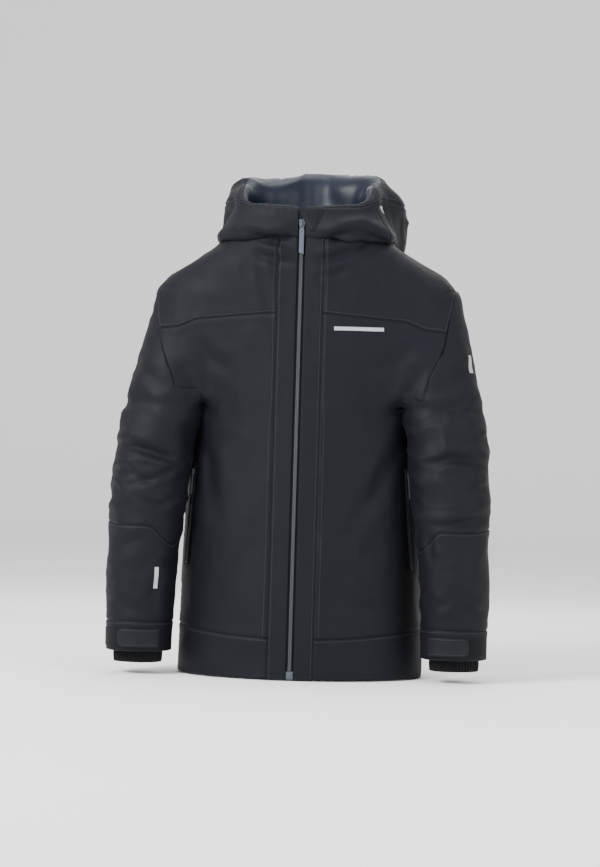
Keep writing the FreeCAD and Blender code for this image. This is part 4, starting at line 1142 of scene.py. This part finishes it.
# ---------------------------------------------------------------- collar and hood
@dataclass
class Hood:
    """The tall collar and the hood that lies folded behind it, as one ring of profiles."""

    opening: float = 0.0062
    # For each angle from the front, points out from the neck seam and above the hem, in millimetres,
    # up the outside, over the rim and down the inside.
    profiles: dict = field(default_factory=lambda: {
        0: ((0, 720), (2, 726), (3.4, 736), (3, 748), (2, 759), (0, 767), (-3, 771), (-7, 771), (-10, 766),
            (-11.5, 755), (-12, 742), (-12.5, 730), (-13, 715), (-13, 694)),
        45: ((0, 716), (11, 719), (17, 727), (16, 740), (11, 753), (6, 764), (2, 772), (-3, 776), (-9, 773),
             (-12, 762), (-13, 748), (-14, 732), (-14, 716), (-13, 694)),
        90: ((0, 717), (8, 720), (9, 731), (-4, 748), (-15, 766), (-22, 780), (-17, 793), (-21, 806),
             (-30, 813), (-40, 808), (-44, 788), (-38, 758), (-24, 728), (-13, 694)),
        135: ((0, 722), (14, 714), (38, 692), (62, 690), (80, 712), (84, 746), (76, 786), (56, 818),
              (28, 836), (-4, 832), (-22, 806), (-20, 770), (-15, 732), (-13, 694)),
        180: ((0, 722), (10, 711), (26, 676), (50, 655), (80, 664), (97, 704), (98, 748), (88, 794),
              (64, 832), (30, 846), (4, 832), (-8, 790), (-12, 742), (-13, 694)),
    })
    rim_from: float = 0.46
    rim_to: float = 0.64

    def point(self, angle: np.ndarray, share: np.ndarray) -> np.ndarray:
        """Points of the hood, by the signed angle from the front and the share of the profile."""
        keys = np.radians(sorted(self.profiles))
        table = np.array([self.profiles[k] for k in sorted(self.profiles)], float) * MM
        size = np.abs(angle)
        place = np.interp(size, keys, np.arange(len(keys)))
        first = np.clip(place.astype(int), 0, len(keys) - 2)
        mix = smooth(0, 1, place - first)
        along = share * (table.shape[1] - 1)
        cell = np.clip(along.astype(int), 0, table.shape[1] - 2)
        t = along - cell
        weights = (-0.5 * t + t ** 2 - 0.5 * t ** 3, 1 - 2.5 * t ** 2 + 1.5 * t ** 3,
                   0.5 * t + 2 * t ** 2 - 1.5 * t ** 3, -0.5 * t ** 2 + 0.5 * t ** 3)
        out, mix = 0.0, mix[..., None]
        for weight, step in zip(weights, (-1, 0, 1, 2)):
            spot = np.clip(cell + step, 0, table.shape[1] - 1)
            out = out + weight[..., None] * (table[first, spot] * (1 - mix) + table[first + 1, spot] * mix)
        wide, deep, centre = (float(v[0]) for v in FORM.body(np.array([NECK])))
        power = 2.25
        way = np.stack([np.sin(size), -np.cos(size)], axis=-1)
        ring = ((np.abs(way[..., 0]) / wide) ** power + (np.abs(way[..., 1]) / deep) ** power) ** (-1 / power)
        reach = ring + out[..., 0]
        lean = ZIP_SLOPE * (out[..., 1] - NECK) * smooth(0.2, 1.0, np.cos(size))
        across = np.sign(angle) * way[..., 0] * reach
        return np.stack([across, centre + way[..., 1] * reach + lean, out[..., 1]], axis=-1)

    def drape(self, point: np.ndarray, normal: np.ndarray) -> np.ndarray:
        """How far the hood's cloth stands off its ring."""
        behind = smooth(-0.09, -0.01, point[..., 1])
        push = (0.0012 + 0.0034 * behind) * GRAIN.at(point + 2.3, (0.042, 0.042, 0.036))
        push = push + (0.001 + 0.0034 * behind) * (GRAIN.creases(point + 6.1, (0.06, 0.06, 0.05)) - 0.4)
        seam = np.abs(np.abs(point[..., 0]) - 0.06)
        push = push - 0.0022 * np.exp(-(seam / 0.003) ** 2) * smooth(0.05, 0.09, point[..., 1])
        push = push + 1.3 * sum(fold.push(point, normal) for fold in TORSO_FOLDS if fold.line[0][1] > 700)
        return push * smooth(0.004, 0.03, np.abs(point[..., 0]))

    def first_angle(self) -> float:
        """The angle at which the ring stops beside the zip."""
        deep = float(FORM.body(np.array([NECK]))[1][0])
        return math.atan(self.opening / deep)

    def build(self) -> None:
        """Make the collar, the hood, its rim and its lining."""
        first = self.first_angle()
        thread = Solids()
        split, behind = math.radians(72), math.radians(152)
        pieces = []
        for name, side in SIDES.items():
            for part, start, end in (("collar", first, split), ("hood_side", split, behind)):
                pieces.append((f"{part}_{name}", side * start, side * end, [f"{part}_{name}"]))
        pieces.append(("hood_centre", behind, 2 * np.pi - behind, ["hood_centre", "hood_neck"]))
        for name, start, end, nodes in pieces:
            angle, share = np.meshgrid(start + (end - start) * stations(abs(end - start) * 0.14, 0.005),
                                       self.rim_from * stations(0.17, 0.005))
            seams = [Edge.LOW, Edge.HIGH, Edge.LAST] + ([] if name.startswith("collar") else [Edge.FIRST])
            self.cloth(f"{name}_shell", angle, share, nodes, SHELL, "shell", seams,
                       [Edge.HIGH] + ([Edge.FIRST, Edge.LAST] if name == "hood_centre" else [])).build(thread)
        turn = np.linspace(first, 2 * np.pi - first, 210)
        rim = self.rim_from + (self.rim_to - self.rim_from) * stations(0.03, 0.003)
        angle, share = np.meshgrid(turn, rim)
        self.cloth("hood_rim_band", angle, share, ["hood_rim"], SHELL, "shell", [Edge.LOW, Edge.HIGH],
                   [Edge.LOW, Edge.HIGH]).build(thread)
        angle, share = np.meshgrid(turn, self.rim_to + (1 - self.rim_to) * stations(0.11, 0.005))
        self.cloth("hood_lining_satin", angle, share, ["hood_lining", "hood_wadding"], LINING, "lining",
                   [Edge.LOW], [], 0.3).build()
        fit(thread.build("hood_stitching"), THREAD, "shell")
        self.ends(first)
        LOG.info("collar and hood sewn")

    def ring(self, angle: np.ndarray, share: np.ndarray) -> np.ndarray:
        """Points of the hood for angles that may run past the back."""
        wrapped = np.where(angle > np.pi, angle - 2 * np.pi, angle)
        return self.point(wrapped, share)

    def ends(self, first: float) -> None:
        """Close the collar's two front edges beside the zip."""
        for name, side in SIDES.items():
            share = np.linspace(0.02, 0.5, 24)
            angle = np.full_like(share, side * first)
            outer, inner = self.point(angle, share), self.point(angle, 1 - share)
            rows = []
            for mix, out in ((0, 0), (0.1, 0.7), (0.3, 1.0), (0.7, 1.0), (0.9, 0.7), (1, 0)):
                row = outer * (1 - mix) + inner * mix
                row[:, 0] -= side * out * 0.7 * MM
                rows.append(row)
            grid = np.array(rows)
            inward = np.tile((-side, 0.0, 0.0), (*grid.shape[:2], 1))
            Cloth(f"collar_edge_{name}", grid, inward, [], SHELL, seams=(), held="folded",
                  rests_on=[f"collar_{name}_shell"]).build()

    def facing(self, angle: np.ndarray, share: np.ndarray) -> np.ndarray:
        """Unit normals of the ring out of the cloth, the same for every piece that meets there."""
        nudge = 1e-3
        around = self.ring(angle + nudge, share) - self.ring(angle - nudge, share)
        up = self.ring(angle, np.clip(share + nudge, 0, 1)) - self.ring(angle, np.clip(share - nudge, 0, 1))
        normal = np.cross(around, up)
        return normal / np.maximum(np.linalg.norm(normal, axis=-1, keepdims=True), 1e-12)

    def cloth(self, name: str, angle: np.ndarray, share: np.ndarray, nodes: list, finish: Finish, slot: str,
              seams: list, stitched: list, padded: float | None = None) -> Cloth:
        """A piece of the hood."""
        normal = self.facing(angle, share)
        return Cloth(name, self.ring(angle, share), normal, nodes, finish, slot, self.drape, seams, stitched,
                     "folded", ["body_lining_back"], padded, normal)


# ---------------------------------------------------------------- zips
@dataclass(frozen=True)
class ZipFrame:
    """A zip's own frame: across, into the jacket, and up along it."""

    origin: np.ndarray
    axes: np.ndarray

    def at(self, across: float, inward: float, along: float) -> np.ndarray:
        """A point given in millimetres across, inward and along."""
        return self.origin + np.array([across, inward, along]) * MM @ self.axes

    def block(self, left: float, right: float, low: float, high: float, front: float, back: float,
              bevel: float) -> tuple[np.ndarray, list]:
        """A rectangular plate."""
        return self.plate([(left, low), (right, low), (right, high), (left, high)], front, back, bevel)

    def plate(self, outline: Sequence[tuple[float, float]], front: float, back: float, bevel: float,
              hole: tuple[float, float, float] | None = None) -> tuple[np.ndarray, list]:
        """A plate with rounded edges and, if wanted, a round hole.

        Args:
            outline: corners across and along, in millimetres, in order round it.
            front: how far inward its front is.
            back: how far inward its back is.
            bevel: size of the rounded edge.
            hole: across, along and radius of the hole.

        Returns:
            Points and faces.
        """
        corners = round_corners(outline, bevel * 2.2)
        count = len(corners)
        middle = corners.mean(axis=0)
        rings = [(back, 1), (back - bevel, 0), (front + bevel, 0), (front, 1)]
        points = []
        for inward, shrunk in rings:
            away = middle - corners
            away /= np.maximum(np.linalg.norm(away, axis=1, keepdims=True), 1e-9)
            for across, along in corners + away * bevel * shrunk:
                points.append(self.at(across, inward, along))
        faces = grid_faces(4, count, True)
        if hole is None:
            return np.array(points), faces + [list(range(count)), list(range(3 * count, 4 * count))[::-1]]
        turn = [math.atan2(c[1] - hole[1], c[0] - hole[0]) for c in corners]
        start = len(points)
        across, along, radius = hole
        for inward in (back, front):
            for a in turn:
                points.append(self.at(across + radius * math.cos(a), inward, along + radius * math.sin(a)))
        far, inner, outer = 3 * count, start, start + count
        for c in range(count):
            d = (c + 1) % count
            faces += [(c, inner + c, inner + d, d), (far + c, far + d, outer + d, outer + c),
                      (inner + c, outer + c, outer + d, inner + d)]
        return np.array(points), faces


def round_corners(outline: Sequence[tuple[float, float]], radius: float) -> np.ndarray:
    """An outline with each corner cut to a short arc."""
    corners, out = np.array(outline, float), []
    for before, here, after in zip(np.roll(corners, 1, 0), corners, np.roll(corners, -1, 0)):
        a, b = before - here, after - here
        reach = min(radius, np.linalg.norm(a) * 0.45, np.linalg.norm(b) * 0.45)
        start, end = here + a / np.linalg.norm(a) * reach, here + b / np.linalg.norm(b) * reach
        for t in np.linspace(0, 1, 6):
            out.append((1 - t) ** 2 * start + 2 * t * (1 - t) * here + t * t * end)
    return np.array(out)


def teeth(frame_of: ZipFrame, low: float, high: float, inner: float, outer: float, front: float, back: float,
          pitch: float, sides: Sequence[float] = (1.0, -1.0)) -> Solids:
    """The turns of a nylon coil, as short rounded bars across the zip."""
    coil = Solids()
    for side in sides:
        shift = pitch / 4 * side
        for along in np.arange(low + pitch, high - pitch / 2, pitch):
            centre = frame_of.at(side * (inner + outer) / 2, (front + back) / 2, along + shift)
            half = np.array([(outer - inner) / 2, (back - front) / 2, pitch * 0.33]) * MM
            coil.bar(centre, half, frame_of.axes, 0.55)
    return coil


@dataclass
class MainZip:
    """The front zip: coil, tapes, foot box, slider with its bail, and the long pull."""

    foot: float = 14.0
    top: float = 754.0
    slider_at: float = 744.0
    pull_length: float = 50.0
    pull_half: float = 4.0
    pin_forward: float = 2.9

    def build(self) -> None:
        """Make the zip."""
        zip_frame = ZipFrame(ZIP_ORIGIN, ZIP_AXES)
        for name, side in SIDES.items():
            coil = teeth(zip_frame, self.foot, self.top, -0.3, 3.1, -0.2, 2.0, 1.6, (side,))
            fit(coil.build(f"zip_coil_{name}_turns"), COIL, "zip_coil", f"zip_coil_{name}")
            TAPE.dress(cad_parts[f"zip_tape_{name}"])
        box = Solids()
        box.put(*zip_frame.block(-5.7, 5.7, 2, 14, -0.3, 4.2, 0.5))
        box.put(*zip_frame.block(-4.2, 4.2, 4, 9, -0.9, 0.0, 0.3))
        fit(box.build("zip_foot_box", smoothed=False), DIE_CAST, "zip_end", "zip_box")
        self.slider(zip_frame)
        self.pull(zip_frame)
        LOG.info("main zip made")

    def slider(self, zip_frame: ZipFrame) -> None:
        """The slider: waisted plates, flanges and the bridge that holds the pull."""
        at = self.slider_at
        shape = [(-3.2, at - 8.4), (3.2, at - 8.4), (4.6, at - 3), (5.4, at + 3), (5.0, at + 8),
                 (1.6, at + 8.4), (0, at + 6.4), (-1.6, at + 8.4), (-5.0, at + 8), (-5.4, at + 3),
                 (-4.6, at - 3)]
        slider = Solids()
        slider.put(*zip_frame.plate(shape, -1.3, -0.2, 0.4))
        slider.put(*zip_frame.plate(shape, 3.5, 4.6, 0.4))
        for side in (-1, 1):
            edge = [(side * 4.3, at - 3), (side * 5.2, at + 2), (side * 5.2, at + 8), (side * 4.4, at + 8)]
            slider.put(*zip_frame.plate(edge, -1.0, 1.9, 0.2))
        slider.put(*zip_frame.block(-0.5, 0.5, at + 2, at + 6, -1.0, 4.0, 0.1))
        arch = [(-1.2, -4), (-3.6, -3.2), (-4.7, -1), (-4.7, 1), (-3.6, 3.2), (-1.2, 4)]
        for (y0, z0), (y1, z1) in zip(arch, arch[1:]):
            start, end = zip_frame.at(0, y0, at + z0), zip_frame.at(0, y1, at + z1)
            slider.rod(start, end, zip_frame.axes[0], 1.25, (0.0012, 0.0005))
        fit(slider.build("zip_slider_cast", "main_slider", False), DIE_CAST, "slider_metal", "zip_slider")

    def pull(self, zip_frame: ZipFrame) -> None:
        """The moulded pull: a flat tab with a small hole and a slanted foot, hung from a wire bail."""
        at, out = self.slider_at, self.pin_forward
        pull = Solids()
        low = at - self.pull_length
        shape = [(-4, at - 9), (-2.4, at - 6.5), (2.4, at - 6.5), (4, at - 9), (4, low), (-4, low + 2.6)]
        pull.put(*zip_frame.plate(shape, -out - 0.8, -out + 0.8, 0.35, (0, at - 13, 1.1)))
        rib = [(-3.1, at - 17), (3.1, at - 17), (3.1, low + 2.0), (-3.1, low + 4.0)]
        pull.put(*zip_frame.plate(rib, -out - 1.05, -out - 0.6, 0.2))
        fit(pull.build("zip_pull_tab", "main_pull", False), MOULDED, "pull", "zip_pull")
        bail = Solids()
        path = [(-1.9, at), (-2.5, at - 3), (-2.5, at - 7), (-1.4, at - 10), (1.4, at - 10), (2.5, at - 7),
                (2.5, at - 3), (1.9, at)]
        for (x0, z0), (x1, z1) in zip(path, path[1:] + path[:1]):
            start, end = zip_frame.at(x0, -out, z0), zip_frame.at(x1, -out, z1)
            side = np.cross((end - start) / np.linalg.norm(end - start), zip_frame.axes[1])
            bail.rod(start, end, side, 1.15, (0.0006, 0.0006))
        fit(bail.build("zip_pull_bail", "main_pull"), DIE_CAST, "slider_metal")


@dataclass
class ChinFlap:
    """The flap of soft cloth over the top of the zip, with a rolled and stitched edge, in millimetres."""

    low: float = 732.5
    top: float = 769.0
    sewn: float = 36.0                      # distance across of the end sewn to the collar
    rows: int = 30
    columns: int = 34

    def build(self) -> None:
        """Make the flap as a closed, rounded piece that steps down onto the collar."""
        up, across = np.meshgrid(np.linspace(0, 1, self.rows), np.linspace(0, 1, self.columns), indexing="ij")
        along = self.low + (self.top - self.low) * up
        free = 16 + (-8 - 16) * up ** 0.85
        x = free + (self.sewn - free) * across
        out = 6.4 - 3.6 * smooth(22, self.sewn, x) + 0.6 * np.exp(-((x - free - 3) / 2.0) ** 2)
        out = out + 0.4 * np.sin(along / 5) * (1 - across)
        layers = []
        for layer, thick in ((1, 0.8), (-1, -0.8)):
            edge = np.minimum(np.minimum(up, 1 - up) * 37, np.minimum(across * 30, (1 - across) * 30))
            swell = np.sqrt(np.clip(edge / 1.2, 0, 1))
            inward = -(out + thick * swell)
            layers.append(np.stack([x, inward, along], axis=-1)[:, ::layer])
        points, faces = [], []
        for layer in layers:
            start = sum(len(p) for p in points)
            points.append(ZIP_ORIGIN + layer.reshape(-1, 3) * MM @ ZIP_AXES)
            faces += grid_faces(self.rows, self.columns, start=start)
        piece = mesh_object("chin_flap_cloth", np.concatenate(points), faces)
        fit(piece, SHELL, "shell", "chin_flap")
        thread = Solids()
        front = points[0].reshape(self.rows, self.columns, 3)
        normal = np.tile(-ZIP_AXES[1], (self.rows, 1))
        for column in (3, 6):
            stitch(thread, front[1:-1, column], normal[1:-1])
        fit(thread.build("chin_flap_stitching"), THREAD, "shell")
        LOG.info("chin flap made")


@dataclass
class PocketZip:
    """One hand-pocket zip: coil, ends, slider and slim pull, welts beside it."""

    name: str
    side: float
    welt_at: float = 5.2                    # millimetres from the zip's middle to a welt's
    welt_out: float = 0.9

    def build(self) -> None:
        """Make the zip along its line on the body."""
        low, high = self.ends()
        zip_frame = self.frame_of(low, high)
        length = np.linalg.norm(high - low) / MM
        coil = teeth(zip_frame, 2.0, length - 2, 0.5, 2.2, -1.5, 0.0, 1.4)
        for along in (0.5, length - 4.5):
            coil.put(*zip_frame.block(-3.4, 3.4, along, along + 4, -1.5, 0.6, 0.3))
        coil.put(*zip_frame.block(-5.6, 5.6, 0.4, length - 0.4, -0.3, 0.6, 0.2))
        piece = coil.build(f"pocket_zip_{self.name}_coil", smoothed=False)
        fit(piece, COIL, "pocket_zip", f"pocket_zip_{self.name}")
        welt = Solids()
        half = np.array([length / 2 + 1, 1.5, 1.1]) * MM
        for side in (-1, 1):
            centre = zip_frame.at(side * self.welt_at, -self.welt_out, length / 2)
            welt.bar(centre, half, zip_frame.axes[[2, 0, 1]], 0.8)
        fit(welt.build(f"pocket_welt_{self.name}"), SHELL, "shell")
        self.slider(zip_frame, length)
        LOG.info("%s pocket zip made", self.name)

    def ends(self) -> tuple[np.ndarray, np.ndarray]:
        """The two ends of the zip, from the ellipse of the body at the zip's own heights."""
        points = []
        for across, height in ((0.188, 0.1798), (0.176, 0.3451)):
            wide, deep, centre = self.ellipse(height)
            front = centre - deep * math.sqrt(1 - (across / wide) ** 2)
            points.append(np.array([self.side * across, front, height]))
        return points[0], points[1]

    def ellipse(self, height: float) -> tuple[float, float, float]:
        """Half width, half depth and centre of the body's ellipse at a height."""
        wide, deep = (np.interp(height, Form.BODY[:, 0], Form.BODY[:, column]) for column in (1, 2))
        return wide, deep, ZIP_FOOT + ZIP_SLOPE * height + deep

    def frame_of(self, low: np.ndarray, high: np.ndarray) -> ZipFrame:
        """The zip's frame, from its ends and the way the body faces there."""
        up = (high - low) / np.linalg.norm(high - low)
        facing = np.zeros(3)
        for point in (low, high):
            wide, deep, centre = self.ellipse(point[2])
            normal = np.array([point[0] / wide ** 2, (point[1] - centre) / deep ** 2, 0])
            facing += normal / np.linalg.norm(normal)
        inward = -facing
        across = np.cross(inward, up)
        across /= np.linalg.norm(across)
        return ZipFrame(low, np.array([across, np.cross(up, across), up]))

    def slider(self, zip_frame: ZipFrame, length: float) -> None:
        """The slider near the top of the zip, and its pull hanging below it."""
        at = length - 9.8                   # clear of the end stop, by half the slider's length
        slider = Solids()
        shape = [(-2.4, at - 5.4), (2.4, at - 5.4), (3.5, at + 1), (3.3, at + 5.2), (-3.3, at + 5.2),
                 (-3.5, at + 1)]
        slider.put(*zip_frame.plate(shape, -2.5, -1.7, 0.25))
        slider.put(*zip_frame.block(-0.9, 0.9, at - 2.4, at + 2.4, -4.8, -2.2, 0.4))
        body = f"pocket_slider_{self.name}"
        fit(slider.build(f"{body}_cast", body, False), DIE_CAST, "slider_metal", body)
        pull = Solids()
        out = 3.7                           # millimetres from the zip's face to the pull's middle
        shape = [(-1.7, at - 6), (1.7, at - 6), (1.7, at - 39.6), (0.9, at - 40), (-0.9, at - 40),
                 (-1.7, at - 39.6)]
        pull.put(*zip_frame.plate(shape, -out - 0.6, -out + 0.6, 0.25))
        for side in (-1, 1):
            pull.put(*zip_frame.block(side * 1.45, side * 2.6, at - 7, at + 0.4, -out - 0.6, -out + 0.6, 0.2))
        pull.put(*zip_frame.block(-2.6, 2.6, at - 7.9, at - 6, -out - 0.6, -out + 0.6, 0.2))
        body = f"pocket_pull_{self.name}"
        fit(pull.build(f"{body}_tab", body, False), MOULDED, "pull", body)


@dataclass
class Marks:
    """Plain light transfer marks: chest, upper sleeve and forearm, with no lettering."""

    stand: float = 0.0005

    def build(self) -> None:
        """Make three slim bars that follow the cloth."""
        marks = Solids()
        rows, columns = np.linspace(0.5695, 0.5755, 6), np.linspace(0.057, 0.137, 40)
        share = np.stack([[float(TORSO.start(float(x), np.array([z]))[0]) for x in columns] for z in rows])
        self.lay(marks, FORM.torso(share, np.tile(rows[:, None], (1, 40))), TORSO.outward, torso_drape)
        for name, first, last, low, high in (("left", 0.30, 0.46, 0.506, 0.534),
                                             ("right", 2.10, 2.22, 0.141, 0.176)):
            sleeve = Sleeve(name, SIDES[name])
            height, angle = np.meshgrid(np.linspace(low, high, 12), np.linspace(first, last, 8),
                                        indexing="ij")
            self.lay(marks, FORM.tube(angle, height, sleeve.side), sleeve.outward, sleeve_drape(name))
        hood = Hood()
        angle, share = np.meshgrid(np.radians(np.linspace(88, 95, 8)), np.linspace(0.33, 0.40, 8))
        grid = hood.point(angle, share)
        self.lay(marks, grid, lambda g: g - np.array([0, -0.03, 0.76]), hood.drape)
        fit(marks.build("light_marks_film"), FILM, "mark", "light_marks")
        LOG.info("marks laid")

    def lay(self, marks: Solids, grid: np.ndarray, outward: Callable, drape: Callable) -> None:
        """Lay one closed film on the draped cloth."""
        normal = normals_of(grid, outward(grid))
        face = grid + normal * (drape(grid, normal) + self.stand)[..., None]
        rows, columns = face.shape[:2]
        back = face - normal * 0.0004
        faces = grid_faces(rows, columns) + [f[::-1] for f in grid_faces(rows, columns, start=rows * columns)]
        marks.put(np.concatenate([face.reshape(-1, 3), back.reshape(-1, 3)]), faces)


# ---------------------------------------------------------------- studio
@dataclass
class Studio:
    """A plain pale sweep, soft lights and the camera."""

    distance: float = 4.5
    azimuth: float = 6.5
    height: float = 0.40
    roll: float = 1.25
    lens: float = 112.0

    def build(self) -> None:
        """Set the stage."""
        reach, wall, bend = 9.0, 5.6, 1.4
        curve = [(-reach, 0.0), (wall, 0.0)]
        curve += [(wall + bend * math.sin(a), bend - bend * math.cos(a))
                  for a in np.linspace(0.1, math.pi / 2, 12)]
        curve += [(wall + bend, 7.0)]
        points = [(x, y, z - 0.0015) for y, z in curve for x in (-reach, reach)]
        sweep = mesh_object("studio_sweep", np.array(points), grid_faces(len(curve), 2))
        sweep.parent = None
        Finish("painted_studio_board", "#ececec", "#f1f1f1", 0.9, grain=900, specular=0.1).dress(sweep)
        world = bpy.data.worlds.new("studio_air")
        bpy.context.scene.world = world
        world.use_nodes = True
        air = world.node_tree.nodes["Background"].inputs
        air["Color"].default_value, air["Strength"].default_value = linear("#f1f1f1"), 1.3
        for name, place, size, power in (
                ("key", (-1.9, -2.3, 2.5), 1.4, 210), ("fill", (2.4, -2.0, 1.4), 1.8, 55),
                ("top", (0.2, 0.4, 2.9), 1.6, 40), ("back", (0.0, 1.7, 1.4), 1.5, 14)):
            self.light(name, Vector(place), size, power)
        target = Vector((-0.006, -0.03, self.height))       # the middle of the picture
        turn = math.radians(self.azimuth)
        data = bpy.data.cameras.new("camera")
        data.lens = self.lens
        camera = bpy.data.objects.new("camera", data)
        bpy.context.scene.collection.objects.link(camera)
        camera.location = target + Vector((math.sin(turn), -math.cos(turn), 0.0)) * self.distance
        facing = (target - camera.location).to_track_quat("-Z", "Y").to_matrix().to_4x4()
        rolled = facing @ Matrix.Rotation(math.radians(self.roll), 4, "Z")
        camera.matrix_world = Matrix.Translation(camera.location) @ rolled
        bpy.context.scene.camera = camera

    def light(self, name: str, place: Vector, size: float, power: float) -> None:
        """Hang a square soft light that faces the jacket."""
        data = bpy.data.lights.new(name, "AREA")
        data.size, data.energy = size, power
        lamp = bpy.data.objects.new(name, data)
        bpy.context.scene.collection.objects.link(lamp)
        lamp.location = place
        lamp.rotation_euler = (Vector((0, 0, 0.45)) - place).to_track_quat("-Z", "Y").to_euler()


def main() -> None:
    """Build the jacket's looks in order."""
    logging.basicConfig(level=logging.INFO, format="%(message)s")
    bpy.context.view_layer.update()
    TORSO.build()
    Inside().build()
    for name, side in SIDES.items():
        Sleeve(name, side).build()
    Hood().build()
    MainZip().build()
    ChinFlap().build()
    for name, side in SIDES.items():
        PocketZip(name, side).build()
    Marks().build()
    Studio().build()
    bpy.context.view_layer.update()


if __name__ == "__main__":
    main()
